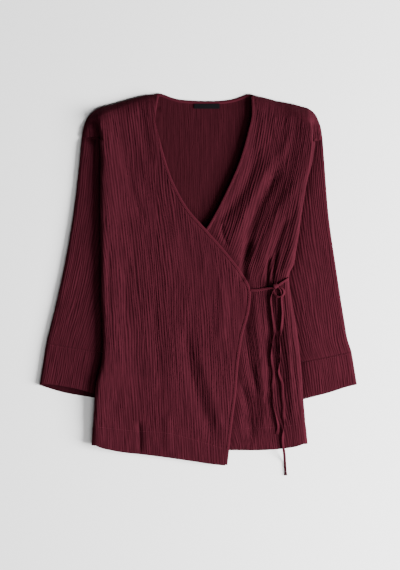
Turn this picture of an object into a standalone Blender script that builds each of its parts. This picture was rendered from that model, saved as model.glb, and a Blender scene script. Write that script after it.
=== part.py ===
"""A crinkled cotton wrap top cut on kimono lines, laid flat on its back, face up.

X runs to the viewer's right, Y from hem to neck, Z up off the surface it lies on. The origin is
under the middle of the garment. Right and left in names are the wearer's, so the right front is
at -X and lies over the left front. Tables and sizes are in millimetres.
"""

import math

import bmesh
import bpy
import numpy as np

MM = 0.001
COLLECTION = "wrap_top"

# Cloth and seams
WALL = 1.2  # thickness of one layer of the crinkled cotton
BAND_WALL = 2.0  # a cuff is two layers
SEAM = 0.3  # pieces that are sewn together stand this far apart
LAYER_GAP = 0.8  # between the two fronts where one lies on the other
TUCK = 2.2  # the left front sinks by this much where the right one covers it
TUCK_START, TUCK_LENGTH = 8.0, 20.0
CRINKLE = 0.9  # height of the crinkle's ridges
BINDING_WIDTH = 5.6
BINDING_THICK = 2.2
BINDING_ENDS = {"right": 0.998, "left": 0.982}  # share of the edge's length that is bound
BINDING_RAISE = 0.5  # the right front's binding is this much over its cloth's middle

# Heights over the surface
FRONT_HEIGHT = 13.5  # underside of the lower front, in the middle of the body
ROLL = 7.0  # radius of the soft roll along each side of the body
ROLL_TOP = 23.0  # top of that roll
ROLL_SPREAD = 30.0  # how far in from the roll the front comes down to its own height
SHOULDER_ROUND = 34.0  # the fronts rise from the shoulder seam over this length
HEM_DROP = 3.0
HEM_LENGTH = 100.0  # the fronts sink by the drop over this length above the hem
SLEEVE_HEIGHT = 10.0
SLEEVE_DIP = 2.6  # the sleeve is this much lower where it goes under the body

# Places inward of the side's outermost line
ARMHOLE_IN = 9.0  # the front's armhole seam, tucked under the roll
SLEEVE_IN = 12.4  # the sleeve's inner fold
SIDE_SEAM_IN = 13.6  # the front's side seam, where it comes down to the back
ARMHOLE_START_Y = 256.4
ARMHOLE_END_Y = 105.0
UNDERARM_Y = 72.0

# Outermost line of the body's sides, from the shoulder to the hem: x, y
SIDES = {
    "right": (
        (-191.8, 305.0), (-187.2, 285.8), (-181.3, 252.7), (-179.5, 229.0), (-180.7, 181.9),
        (-180.6, 126.2), (-179.6, -18.9), (-180.6, -163.9), (-186.9, -188.1), (-191.8, -236.6),
        (-196.7, -308.0),
    ),
    "left": (
        (203.0, 302.0), (214.5, 283.0), (214.8, 252.7), (210.0, 217.4), (200.7, 181.9),
        (179.8, 53.7), (174.3, 25.3), (167.6, 12.0), (166.5, 1.3), (167.6, -12.0),
        (174.3, -52.5), (181.3, -94.9), (188.3, -158.7), (195.2, -216.5), (202.6, -305.3),
    ),
}

# Shoulder seam from the neck outward: x, y
SHOULDERS = {
    "right": (
        (-76.8, 341.3), (-117.5, 334.9), (-137.8, 329.3), (-156.3, 323.8), (-180.4, 318.2),
        (-191.5, 312.7), (-198.9, 307.1), (-204.4, 301.6), (-208.1, 296.0),
    ),
    "left": (
        (92.0, 341.3), (123.0, 334.9), (143.4, 329.3), (174.8, 323.8), (189.6, 318.2),
        (202.6, 312.7), (210.0, 307.1), (215.5, 301.6), (217.4, 296.0),
    ),
}

# End of the dropped shoulder, from the shoulder seam to the sleeve seam: x, y
CAPS = {
    "right": ((-208.1, 296.0), (-211.8, 284.9), (-216.5, 262.7)),
    "left": ((217.4, 296.0), (221.1, 284.9), (226.6, 259.0)),
}

# Front edges from the neck to the corner, outside the binding: x, y
NECK_EDGES = {
    "right": (
        (-76.0, 340.4), (-79.0, 295.6), (-68.5, 247.2), (-44.2, 174.6), (-20.0, 131.4),
        (13.9, 92.5), (52.5, 48.8), (81.6, 10.2), (96.0, -18.9),
    ),
    "left": (
        (97.5, 339.1), (98.4, 305.3), (91.2, 271.4), (72.0, 208.5), (52.5, 165.0),
        (33.1, 126.2), (16.3, 97.3), (-21.0, 53.7), (-56.0, 13.0), (-75.0, -13.0),
    ),
}

# Front edges from the corner to the hem: x, y
LOWER_EDGES = {
    "right": (
        (96.0, -18.9), (95.0, -52.7), (81.6, -106.0), (74.4, -154.3), (69.4, -212.4),
        (62.0, -270.1), (52.5, -341.6),
    ),
    "left": ((-75.0, -13.0), (-83.0, -42.0), (-84.0, -94.0), (-71.0, -205.0), (-43.5, -312.0)),
}

# Hem of each front from the side to the front edge: x, y
HEMS = {
    "right": (
        (-196.7, -307.0), (-160.0, -316.5), (-89.7, -322.0), (-6.5, -334.0), (21.3, -338.8),
        (52.5, -341.6),
    ),
    "left": (
        (202.6, -303.5), (187.8, -309.0), (156.3, -314.5), (113.8, -318.2), (63.8, -320.0),
        (10.0, -318.0), (-43.5, -312.0),
    ),
}
BACK_HEM = ((-196.7, -300.0), (-90.0, -304.0), (60.0, -304.0), (202.6, -297.0))

# Back neck, outside the binding: x, y
BACK_NECK = (
    (-72.0, 339.6), (-44.2, 333.4), (-5.6, 329.5), (33.1, 329.5), (62.2, 333.4), (89.0, 339.6),
)

# Largest folds of the fronts. Each is a soft ridge (height over 0) or trough (under 0) along
# three points. Columns: x0, y0, x1, y1, x2, y2, half width, height
FOLDS = (
    (176.0, 277.0, 117.0, 187.0, 61.0, 42.5, 11.0, 3.2),
    (182.0, 240.0, 139.0, 159.0, 86.0, 15.0, 9.0, -4.2),
    (158.0, 131.0, 130.0, 61.0, 108.0, -4.0, 8.0, 3.0),
    (158.0, 55.0, 146.0, 30.0, 136.0, 6.0, 7.0, -2.4),
    (123.0, 257.0, 61.0, 125.8, 35.0, 79.0, 8.0, -1.8),
    (93.0, -90.0, 92.0, -200.0, 104.0, -300.0, 11.0, -3.4),
    (112.0, -37.0, 118.0, -170.0, 126.0, -300.0, 7.0, 2.4),
    (163.0, -61.0, 178.0, -180.0, 186.0, -290.0, 8.0, 2.2),
    (-25.0, -57.0, -4.0, -180.0, 16.0, -320.0, 13.0, -2.8),
    (-106.0, 322.0, -100.0, 270.0, -88.0, 212.0, 10.0, -1.6),
    (-158.0, 275.0, -110.0, 190.0, -45.0, 75.0, 15.0, -1.8),
    (-160.0, 72.0, -170.0, 0.0, -168.0, -76.0, 9.0, -1.6),
    (-145.0, -60.0, -140.0, -150.0, -138.0, -260.0, 16.0, 1.6),
    (-110.0, -268.0, -109.0, -290.0, -108.0, -318.0, 7.0, -2.2),
)

# Sleeve: seam of the cuff and end of the cuff, from the outer fold to the inner one: x, y
CUFF_SEAMS = {
    "right": ((-282.1, -118.4), (-225.0, -128.2), (-168.0, -137.5)),
    "left": ((284.0, -134.5), (230.0, -146.0), (176.0, -156.5)),
}
CUFF_ENDS = {
    "right": ((-292.6, -190.0), (-254.4, -202.6), (-219.2, -212.8), (-179.5, -219.0)),
    "left": ((292.6, -191.5), (247.0, -205.4), (215.0, -212.0), (185.0, -218.5)),
}
SLEEVE_BOW = 9.7  # the outer fold bends in by this much half way down
CUFF_MOUTH_RISE = 8.0  # the cuff's upper layer stops this much short of the lower one

# Ties: routes by hand over the fronts, from their sewn ends: x, y
TIE_DIAMETER = 4.4
TIE_FRONT = ((101.5, -22.0), (112.0, -19.5), (124.0, -17.0), (134.5, -15.6))
TIE_SIDE = ((166.0, 0.0), (159.0, -4.5), (153.0, -8.5), (149.6, -11.6))
TIE_LOOP = (
    (147.2, -21.8), (150.4, -26.0), (151.0, -31.0), (148.0, -35.2), (143.6, -34.0),
    (141.4, -29.0), (141.2, -22.9),
)
TIE_END_SHORT = (
    (136.0, -21.7), (135.0, -38.0), (139.7, -76.0), (141.5, -103.6), (134.1, -122.0),
    (136.0, -131.0), (140.8, -164.6), (136.0, -197.4), (139.3, -230.5), (145.8, -250.3),
    (148.4, -285.8),
)
TIE_END_LONG = (
    (150.5, -17.2), (157.0, -24.0), (158.6, -38.0), (156.3, -66.6), (152.6, -94.4), (148.9, -112.9),
    (152.4, -131.4), (147.5, -161.0), (157.4, -197.4), (157.4, -230.5), (159.1, -271.8),
    (155.8, -296.6), (159.1, -318.2), (159.1, -341.2), (159.8, -360.8),
)
KNOT_AT = (142.0, -15.8)
KNOT_SIZE = (14.0, 12.5, 8.5)
TIE_POINT_STEP = 9.5

LABEL_AT = (17.0, 318.5)
LABEL_SIZE = (47.0, 9.0, 0.8)

COTTON = ((0.088, 0.0125, 0.0215), 0.85)
LABEL_BLACK = ((0.012, 0.012, 0.014), 0.6)


# Curves and heights ---------------------------------------------------------------------------


def curve_at(points, fraction):
    """A smooth curve through the points, read at fractions of its length."""
    points = np.asarray(points, float)
    steps = np.linalg.norm(np.diff(points, axis=0), axis=1)
    knots = np.concatenate([[0.0], np.cumsum(steps)])
    slope = np.gradient(points, knots, axis=0)
    place = np.clip(np.asarray(fraction, float), 0.0, 1.0) * knots[-1]
    low = np.clip(np.searchsorted(knots, place, side="right") - 1, 0, len(steps) - 1)
    span = steps[low]
    u = ((place - knots[low]) / span)[..., None]
    span = span[..., None]
    return (
        (2 * u**3 - 3 * u**2 + 1) * points[low]
        + (u**3 - 2 * u**2 + u) * span * slope[low]
        + (3 * u**2 - 2 * u**3) * points[low + 1]
        + (u**3 - u**2) * span * slope[low + 1]
    )


FINE = np.linspace(0.0, 1.0, 400)


def x_at_y(points, y):
    """Where a curve that runs down the garment is at each y."""
    line = curve_at(points, FINE)[::-1]
    return np.interp(y, line[:, 1], line[:, 0])


def y_at_x(points, x):
    """Where a curve that runs across the garment is at each x."""
    line = curve_at(points, FINE)
    line = line[np.argsort(line[:, 0])]
    return np.interp(x, line[:, 0], line[:, 1])


def moved_in(points, distance, side):
    """The curve moved to its side by a distance: side 1 is to its left as it runs, -1 its right."""
    points = np.asarray(points, float)
    along = np.gradient(points, axis=0)
    along /= np.linalg.norm(along, axis=1)[:, None]
    return points + side * distance * np.stack([-along[:, 1], along[:, 0]], axis=1)


def ease(value):
    """0 to 1 with soft ends."""
    value = np.clip(value, 0.0, 1.0)
    return value * value * (3 - 2 * value)


def fold_height(x, y):
    """The sum of the soft ridges and troughs: each falls off as a bell across its line."""
    height = np.zeros_like(x)
    for x0, y0, x1, y1, x2, y2, half_width, rise in FOLDS:
        line = curve_at(((x0, y0), (x1, y1), (x2, y2)), np.linspace(0, 1, 24))
        gap = np.hypot(x[..., None] - line[:, 0], y[..., None] - line[:, 1])
        place = gap.argmin(axis=-1) / 23
        taper = ease(np.minimum(place, 1 - place) * 5 + 0.15)
        height += rise * taper * np.exp(-((gap.min(axis=-1) / half_width) ** 2))
    return height


def side_gap(x, y):
    """How far a point is inward of the nearer side's outermost line."""
    return np.minimum(x - x_at_y(SIDES["right"], y), x_at_y(SIDES["left"], y) - x)


def shoulder_y(x):
    """The shoulder seam's y, level across the neck."""
    seam = np.concatenate([np.asarray(SHOULDERS["right"])[::-1], np.asarray(SHOULDERS["left"])])
    return np.interp(x, seam[:, 0], seam[:, 1])


def front_under(x, y):
    """Height of the lower front's underside. Both fronts follow it."""
    inward = side_gap(x, y) - ROLL
    rolled = ROLL_TOP - WALL - FRONT_HEIGHT
    height = FRONT_HEIGHT + rolled * np.exp(-((np.maximum(inward, 0.0) / ROLL_SPREAD) ** 2))
    height += fold_height(x, y) * ease(inward / 14 + 0.2)
    above_hem = y + 312.0
    height -= HEM_DROP * (1 - ease(above_hem / HEM_LENGTH))
    below_shoulder = np.clip((shoulder_y(x) - y) / SHOULDER_ROUND, 0.0, 1.0)
    edge = WALL + SEAM
    return edge + (height - edge) * np.sqrt(1 - (1 - below_shoulder) ** 2)


RIGHT_EDGE = NECK_EDGES["right"] + LOWER_EDGES["right"][1:]


def lift(x, y, side):
    """How far a front lies over the height that both follow."""
    if side == "right":
        return np.full_like(x, WALL + LAYER_GAP)
    under = x_at_y(RIGHT_EDGE, np.minimum(y, 200.0)) + TUCK_START - x
    return -TUCK * ease(under / TUCK_LENGTH) * ease((140.0 - y) / 40.0)


def front_top(x, y, side):
    """Height of a front's face without its crinkle."""
    return front_under(x, y) + lift(x, y, side) + WALL


def crinkle(columns, rows, strength):
    """Ridges on every second column, each swelling and fading along its length."""
    column, row = np.meshgrid(np.arange(columns), np.arange(rows))
    swell = 0.62 + 0.38 * np.sin(1.9 * column + 0.83 * row + 1.3 * np.sin(0.41 * column))
    return CRINKLE * strength * swell * (column % 2)


# Meshes -----------------------------------------------------------------------------------------


def material(name, colour, roughness):
    made = bpy.data.materials.new(name)
    made.use_nodes = True
    shader = made.node_tree.nodes["Principled BSDF"]
    shader.inputs["Base Color"].default_value = (*colour, 1.0)
    shader.inputs["Roughness"].default_value = roughness
    shader.inputs["Metallic"].default_value = 0.0
    return made


def finish(name, mesh, made_of):
    part = bpy.data.objects.new(name, mesh)
    part.data.materials.append(made_of)
    bpy.data.collections[COLLECTION].objects.link(part)
    mesh.shade_smooth()
    mesh.set_sharp_from_angle(angle=math.radians(50))
    return part


def wall(name, face, lining, made_of, cells=None, ring=False):
    """A cloth wall between two grids of points, closed round its borders.

    face and lining are rows x columns x 3. cells says which squares of the grid are cloth. With
    ring, the last column joins the first.
    """
    rows, columns = face.shape[:2]
    across = columns if ring else columns - 1
    if cells is None:
        cells = np.ones((rows - 1, across), bool)
    index = np.arange(rows * columns).reshape(rows, columns)
    if ring:
        index = np.concatenate([index, index[:, :1]], axis=1)
    under = index + rows * columns
    corner = (index[:-1, :-1], index[:-1, 1:], index[1:, 1:], index[1:, :-1])
    faces = [np.stack([part[cells] for part in corner], axis=1)]
    faces.append(faces[0][:, ::-1] + rows * columns)
    above = np.zeros_like(cells)
    above[1:] = cells[:-1]
    below = np.zeros_like(cells)
    below[:-1] = cells[1:]
    before = np.roll(cells, 1, axis=1) if ring else np.pad(cells, ((0, 0), (1, 0)))[:, :-1]
    after = np.roll(cells, -1, axis=1) if ring else np.pad(cells, ((0, 0), (0, 1)))[:, 1:]
    for open_side, (first, second) in (
        (cells & ~above, (0, 1)), (cells & ~after, (1, 2)),
        (cells & ~below, (2, 3)), (cells & ~before, (3, 0)),
    ):
        start, end = corner[first][open_side], corner[second][open_side]
        faces.append(np.stack([end, start, start + rows * columns, end + rows * columns], axis=1))
    faces = np.concatenate(faces)
    points = np.concatenate([face.reshape(-1, 3), lining.reshape(-1, 3)]) * MM
    used, faces = np.unique(faces, return_inverse=True)
    mesh = bpy.data.meshes.new(name)
    mesh.from_pydata(points[used].tolist(), [], faces.reshape(-1, 4).tolist())
    tidy = bmesh.new()
    tidy.from_mesh(mesh)
    bmesh.ops.recalc_face_normals(tidy, faces=tidy.faces)
    tidy.to_mesh(mesh)
    tidy.free()
    return finish(name, mesh, made_of)


def band(name, path, across, width, thick, made_of):
    """A soft flat band along a path: an oval of eight points carried along it."""
    along = np.gradient(path, axis=0)
    along /= np.linalg.norm(along, axis=1)[:, None]
    across = across - along * (across * along).sum(axis=1)[:, None]
    across /= np.linalg.norm(across, axis=1)[:, None]
    up = np.cross(across, along)
    up *= np.sign(up[:, 2])[:, None]
    turn = np.arange(8) * math.tau / 8 + math.tau / 16
    oval = np.stack([np.cos(turn) * width / 2, np.sin(turn) * thick / 2], axis=1) / math.cos(math.tau / 16)
    rings = (
        path[:, None] + across[:, None] * oval[None, :, :1] + up[:, None] * oval[None, :, 1:]
    )
    core = path[:, None] + 0.02 * (rings - path[:, None])
    points = np.concatenate([rings.reshape(-1, 3), core[[0, -1]].mean(axis=1)])
    index = np.arange(len(path) * 8).reshape(-1, 8)
    index = np.concatenate([index, index[:, :1]], axis=1)
    sides = np.stack([index[:-1, :-1], index[:-1, 1:], index[1:, 1:], index[1:, :-1]], axis=-1)
    first, last = len(path) * 8, len(path) * 8 + 1
    caps = [(first, index[0, i + 1], index[0, i]) for i in range(8)]
    caps += [(last, index[-1, i], index[-1, i + 1]) for i in range(8)]
    mesh = bpy.data.meshes.new(name)
    mesh.from_pydata((points * MM).tolist(), [], sides.reshape(-1, 4).tolist() + caps)
    tidy = bmesh.new()
    tidy.from_mesh(mesh)
    bmesh.ops.recalc_face_normals(tidy, faces=tidy.faces)
    tidy.to_mesh(mesh)
    tidy.free()
    return finish(name, mesh, made_of)


# Fronts -----------------------------------------------------------------------------------------

# How far down the front each row of points lies, from the shoulder (0) to the hem (1)
FRONT_ROWS = np.array(
    [0, 0.008, 0.026, 0.0695, 0.08, 0.13, 0.195, 0.26, 0.325, 0.367, 0.44, 0.48, 0.52, 0.6, 0.68, 0.76,
     0.84, 0.92, 1.0]
)
CAP_ROWS = 4  # the first rows reach out over the dropped shoulder
ROLL_TURNS = np.radians([118, 150, 180, 225, 270])  # round the side's roll, from top to bottom
NECK_BULGE = 42.0  # the neck edge's bend near the shoulder fades over this width
SHOULDER_SHARE = 0.40  # share of a front's columns that start on the shoulder seam
STEEP_COLUMNS = 5  # columns that start where the neck edge is steepest
CLOSE_COLUMNS = 0.016  # columns nearer each other than this share of the width stay plain


def side_levels(side):
    """The y of each row at the garment's side. The back and the front share them."""
    top, low = SIDES[side][0][1], SIDES[side][-1][1]
    return top + (low - top) * FRONT_ROWS


def panel_edges(side):
    """A front's cloth edge, inside its binding: neck part and lower part, meeting at the corner."""
    inward = -1 if side == "right" else 1
    whole = moved_in(NECK_EDGES[side] + LOWER_EDGES[side][1:], BINDING_WIDTH + SEAM, inward)
    corner = len(NECK_EDGES[side])
    return whole[:corner], whole[corner - 1 :]


def neck_chord(side):
    """Share of a front's width where its neck edge runs nearly straight down from the neck."""
    neck = panel_edges(side)[0]
    return (1 - SHOULDER_SHARE) * (neck[2, 0] - neck[0, 0]) / (neck[-1, 0] - neck[0, 0])


def across_front(side, main, covered):
    """Each column's place across the front, from the side (0) to the front edge (1)."""
    q = np.linspace(0.0, 1.0, main)
    if covered:
        bend = 1 - covered
        q = np.where(q < bend, q * 0.66 / bend, 0.66 + (q - bend) * 0.34 / covered)
    steep = SHOULDER_SHARE + neck_chord(side) * np.linspace(0, 1, STEEP_COLUMNS)
    kept = (q < steep[0] - 0.004) | (q > steep[-1] + 0.004)
    return np.sort(np.concatenate([q[kept], steep]))


def front_plan(side, main, covered):
    """The front's points from above: rows x columns x 2, from the side's roll to the front edge.

    The top ends of the columns follow the shoulder seam and then the neck edge. covered is the
    share of columns that the other front hides, which are set wider apart.
    """
    inward = 1 if side == "right" else -1
    neck, lower = panel_edges(side)
    rolled = np.asarray(SIDES[side], float) + [inward * ROLL, 0.0]
    shoulder = np.asarray(SHOULDERS[side], float)
    neck_x = neck[0, 0]
    t = FRONT_ROWS
    side_x = x_at_y(rolled, side_levels(side))
    q = across_front(side, main, covered)
    share = SHOULDER_SHARE
    top_x = np.where(
        q < share,
        side_x[0] + (neck_x - side_x[0]) * q / share,
        neck_x + (neck[-1, 0] - neck_x) * (q - share) / (1 - share),
    )
    order = np.argsort(shoulder[:, 0])
    seam_y = np.interp(top_x, shoulder[order, 0], shoulder[order, 1])
    straight = np.concatenate([neck[:1], neck[2:]])
    line = curve_at(neck, FINE)
    order = np.argsort(line[:, 0])
    below = line[:, 1] < straight[1, 1]
    rest_order = np.argsort(line[below][:, 0])
    chord = (top_x - straight[0, 0]) / (straight[1, 0] - straight[0, 0])
    edge_y = np.where(
        chord < 1,
        straight[0, 1] + (straight[1, 1] - straight[0, 1]) * chord,
        np.interp(top_x, line[below][rest_order, 0], line[below][rest_order, 1]),
    )
    top = np.stack([top_x, np.where(q < share, seam_y, edge_y)], axis=1)
    top[0] = side_x[0], np.interp(side_x[0], np.sort(shoulder[:, 0]), shoulder[np.argsort(shoulder[:, 0]), 1])
    hem = np.asarray(HEMS[side], float)
    hem_x = side_x[-1] + (lower[-1, 0] - side_x[-1]) * q
    bottom = np.stack([hem_x, y_at_x(hem, hem_x)], axis=1)
    lower_y = lower[0, 1] + (bottom[-1, 1] - lower[0, 1]) * t
    lower_x = x_at_y(lower, lower_y)
    side_bend = side_x - (side_x[0] + (side_x[-1] - side_x[0]) * t)
    lower_bend = lower_x - (lower_x[0] + (lower_x[-1] - lower_x[0]) * t)
    tt, qq = t[:, None], q[None, :]
    x = top[:, 0] * (1 - tt) + bottom[:, 0] * tt
    x = x + (1 - qq) * side_bend[:, None] + qq * lower_bend[:, None]
    y = top[:, 1] * (1 - tt) + bottom[:, 1] * tt
    levels = side_levels(side) - y[:, 0]
    y = y + (1 - qq) ** 4 * levels[:, None] * (tt > 0)
    bulge = np.interp(y, [straight[1, 1], straight[0, 1]], [straight[1, 0], straight[0, 0]])
    bulge = np.where(y > straight[1, 1], x_at_y(neck, y) - bulge, 0.0)
    middle = x_at_y(neck, y)
    x = x + bulge * np.exp(-(((x - middle) / NECK_BULGE) ** 2))
    return np.stack([x, y], axis=-1)


def front(side, main, covered, made_of):
    """A front: the panel, the roll along its side and the wall down to the side seam."""
    inward = 1 if side == "right" else -1
    plan = front_plan(side, main, covered)
    x, y = plan[..., 0], plan[..., 1]
    under = front_under(x, y) + lift(x, y, side)
    rows = len(FRONT_ROWS)
    q = across_front(side, main, covered)
    main = len(q)
    strength = np.ones((rows, main))
    strength[:, np.minimum(np.gradient(q), 1 - q) < CLOSE_COLUMNS] = 0.0
    strength[:, 0] = strength[:, -1] = 0.0
    strength[:2] = 0.0
    if side == "left":
        strength[(x < x_at_y(RIGHT_EDGE, y) + 14.0) & (y < 110.0)] = 0.0
    raised = crinkle(main, rows, strength)
    face = np.stack([x, y, under + WALL + raised], axis=-1)
    lining = np.stack([x, y, under], axis=-1)

    # Past the main columns: over the dropped shoulder in the first rows, round the roll below
    edge_y = y[:, 0]
    outer_x = x_at_y(SIDES[side], edge_y)
    roll_z = under[:, 0] + WALL - ROLL
    turns = len(ROLL_TURNS)
    tail_in = np.array([8.2, 8.6, ARMHOLE_IN])
    tail_z = np.array([9.7, 9.6, 9.5])
    seam_in = np.array([10.6, 13.2, SIDE_SEAM_IN])
    seam_z = np.array([9.6, 7.6, SEAM])
    tails = len(tail_in)
    cap_end = curve_at(CAPS[side], np.linspace(0, 1, CAP_ROWS))
    more_face = np.zeros((rows, turns + tails, 3))
    more_lining = np.zeros_like(more_face)
    for row in range(rows):
        if row < CAP_ROWS:
            share = (np.arange(turns + tails) + 1) / (turns + tails)
            start = np.array([x[row, 0], y[row, 0]])
            flat = start + (cap_end[row] - start) * share[:, None]
            low = 5.2 if row else WALL + SEAM
            drop = under[row, 0] + (min(low, under[row, 0]) - under[row, 0]) * ease(share)
            more_lining[row] = np.column_stack([flat, drop])
            more_face[row] = more_lining[row] + [0, 0, WALL]
            continue
        low = roll_z[row] - ROLL
        ring_in = ROLL + ROLL * np.cos(ROLL_TURNS)
        ring_z = roll_z[row] + ROLL * np.sin(ROLL_TURNS)
        inner = ROLL - WALL
        lining_in = ROLL + inner * np.cos(ROLL_TURNS)
        lining_z = roll_z[row] + inner * np.sin(ROLL_TURNS)
        down = ease((ARMHOLE_END_Y - edge_y[row]) / (ARMHOLE_END_Y - 80.0))
        end_in = tail_in * (1 - down) + seam_in * down
        end_z = tail_z * (1 - down) + seam_z * down
        end_z = np.maximum(end_z, SEAM) + (low - 9.5) * np.array([0.9, 0.6, 0.0]) * down
        end_z += (low - 9.5) * (1 - down)
        normal_in = np.array([0.15, 0.75, 1.0]) * down
        normal_z = np.sqrt(1 - normal_in**2) * [1, 1, 1]
        face_in = np.concatenate([ring_in, end_in])
        face_z = np.concatenate([ring_z, end_z])
        back_in = np.concatenate([lining_in, end_in + WALL * normal_in])
        back_z = np.concatenate([lining_z, end_z + WALL * normal_z])
        more_face[row] = np.column_stack(
            [outer_x[row] + inward * face_in, np.full(len(face_in), edge_y[row]), face_z]
        )
        more_lining[row] = np.column_stack(
            [outer_x[row] + inward * back_in, np.full(len(back_in), edge_y[row]), back_z]
        )
    face = np.concatenate([more_face[:, ::-1], face], axis=1)
    lining = np.concatenate([more_lining[:, ::-1], lining], axis=1)
    return wall(f"front_{side}", face, lining, made_of)


# Back -------------------------------------------------------------------------------------------

BACK_CAP_COLUMNS = 2
BACK_PLAIN = 4  # columns at each side that the fronts hide
BACK_RIDGED = 29


def back_inset(y):
    """How far the back's edge lies in from the side line: it makes room for the front's wall."""
    below = ease((ARMHOLE_END_Y - y) / (ARMHOLE_END_Y - 80.0))
    return SLEEVE_IN + SEAM + 0.8 + (SIDE_SEAM_IN + WALL - SLEEVE_IN - 0.6) * below


def back(made_of):
    """The back panel, flat on the surface, with its crinkle where the open neck shows it."""
    t = FRONT_ROWS
    rows = len(t)
    neck = moved_in(BACK_NECK, BINDING_WIDTH + SEAM, -1)
    left_x, right_x = -78.0, 96.0
    q = np.concatenate(
        [
            np.linspace(0, 0.29, BACK_PLAIN, endpoint=False),
            np.linspace(0.29, 0.74, BACK_RIDGED),
            np.linspace(0.74, 1.0, BACK_PLAIN + 1)[1:],
        ]
    )
    minus_y, plus_y = side_levels("right"), side_levels("left")
    minus_x = x_at_y(SIDES["right"], minus_y) + back_inset(minus_y)
    plus_x = x_at_y(SIDES["left"], plus_y) - back_inset(plus_y)
    top_x = np.interp(q, [0, 0.29, 0.74, 1.0], [minus_x[0], left_x, right_x, plus_x[0]])
    neck_line = curve_at(neck, FINE)
    top_y = np.where(
        (top_x > left_x) & (top_x < right_x),
        np.interp(top_x, neck_line[:, 0], neck_line[:, 1]),
        shoulder_y(top_x),
    )
    hem_x = minus_x[-1] + (plus_x[-1] - minus_x[-1]) * q
    hem_y = y_at_x(BACK_HEM, hem_x)
    tt, qq = t[:, None], q[None, :]
    x = top_x * (1 - tt) + hem_x * tt
    x = x + (1 - qq) * (minus_x - (minus_x[0] * (1 - t) + minus_x[-1] * t))[:, None]
    x = x + qq * (plus_x - (plus_x[0] * (1 - t) + plus_x[-1] * t))[:, None]
    y = top_y * (1 - tt) + hem_y * tt
    y = y + (1 - qq) ** 4 * (minus_y - y[:, 0])[:, None] * (t > 0)[:, None]
    y = y + qq**4 * (plus_y - y[:, -1])[:, None] * (t > 0)[:, None]
    x_all, y_all = [x], [y]
    for side, column in (("right", 0), ("left", -1)):
        cap = curve_at(CAPS[side], np.linspace(0, 1, CAP_ROWS))
        cap = np.concatenate([cap, np.repeat(cap[-1:], rows - CAP_ROWS, axis=0)])
        share = (np.arange(BACK_CAP_COLUMNS) + 1) / BACK_CAP_COLUMNS
        out_x = x[:, column, None] + (cap[:, :1] - x[:, column, None]) * share
        out_y = y[:, column, None] + (cap[:, 1:] - y[:, column, None]) * share
        if side == "right":
            x_all.insert(0, out_x[:, ::-1])
            y_all.insert(0, out_y[:, ::-1])
        else:
            x_all.append(out_x)
            y_all.append(out_y)
    x, y = np.concatenate(x_all, axis=1), np.concatenate(y_all, axis=1)
    columns = x.shape[1]
    shows = (x > NECK_EDGES["right"][1][0] + 2) & (x < 94) & (y < 322) & (y > 60)
    raised = crinkle(columns, rows, shows * 0.8)
    face = np.stack([x, y, WALL + raised], axis=-1)
    lining = np.stack([x, y, np.zeros_like(x)], axis=-1)
    cells = np.ones((rows - 1, columns - 1), bool)
    cells[CAP_ROWS - 1 :, :BACK_CAP_COLUMNS] = False
    cells[CAP_ROWS - 1 :, -BACK_CAP_COLUMNS:] = False
    return wall("back", face, lining, made_of, cells)


# Sleeves and cuffs ------------------------------------------------------------------------------

SLEEVE_ROWS = np.array([0, 0.03, 0.1, 0.25, 0.42, 0.6, 0.78, 0.92, 1.0])
SLEEVE_TOP_COLUMNS = 20
SLEEVE_LOW = np.array([0.97, 0.8, 0.55, 0.3, 0.03])
SEAM_SHARE = 0.4  # share of the sleeve's width that is sewn across the dropped shoulder


def sleeve_top(x, y, side):
    """Height of the sleeve's upper face: lower beside the body than in the middle."""
    gap = (x_at_y(SIDES[side], y) - x) * (1 if side == "right" else -1)
    return SLEEVE_HEIGHT - SLEEVE_DIP * np.exp(-np.maximum(gap, 0.0) / 24.0)


def armhole(side, a, inset):
    """The sleeve's mouth from the outer fold (a = 0) to the underarm (a = 1), from above."""
    inward = 1 if side == "right" else -1
    cap_x, cap_y = CAPS[side][-1]
    inner_x = x_at_y(SIDES[side], ARMHOLE_START_Y) + inward * inset
    across = np.clip(a / SEAM_SHARE, 0, 1)
    down = np.clip((a - SEAM_SHARE) / (1 - SEAM_SHARE), 0, 1)
    start_y = ARMHOLE_START_Y - 1.2
    y = np.where(
        a < SEAM_SHARE,
        cap_y - 0.9 + (start_y - cap_y + 0.9) * across,
        start_y + (UNDERARM_Y - start_y) * down,
    )
    late = ease((down - 0.86) / 0.14) * (SLEEVE_IN - inset)
    x = np.where(
        a < SEAM_SHARE,
        cap_x + (inner_x - cap_x) * across,
        x_at_y(SIDES[side], y) + inward * (inset + late),
    )
    return np.stack([x, y], axis=-1)


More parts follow.
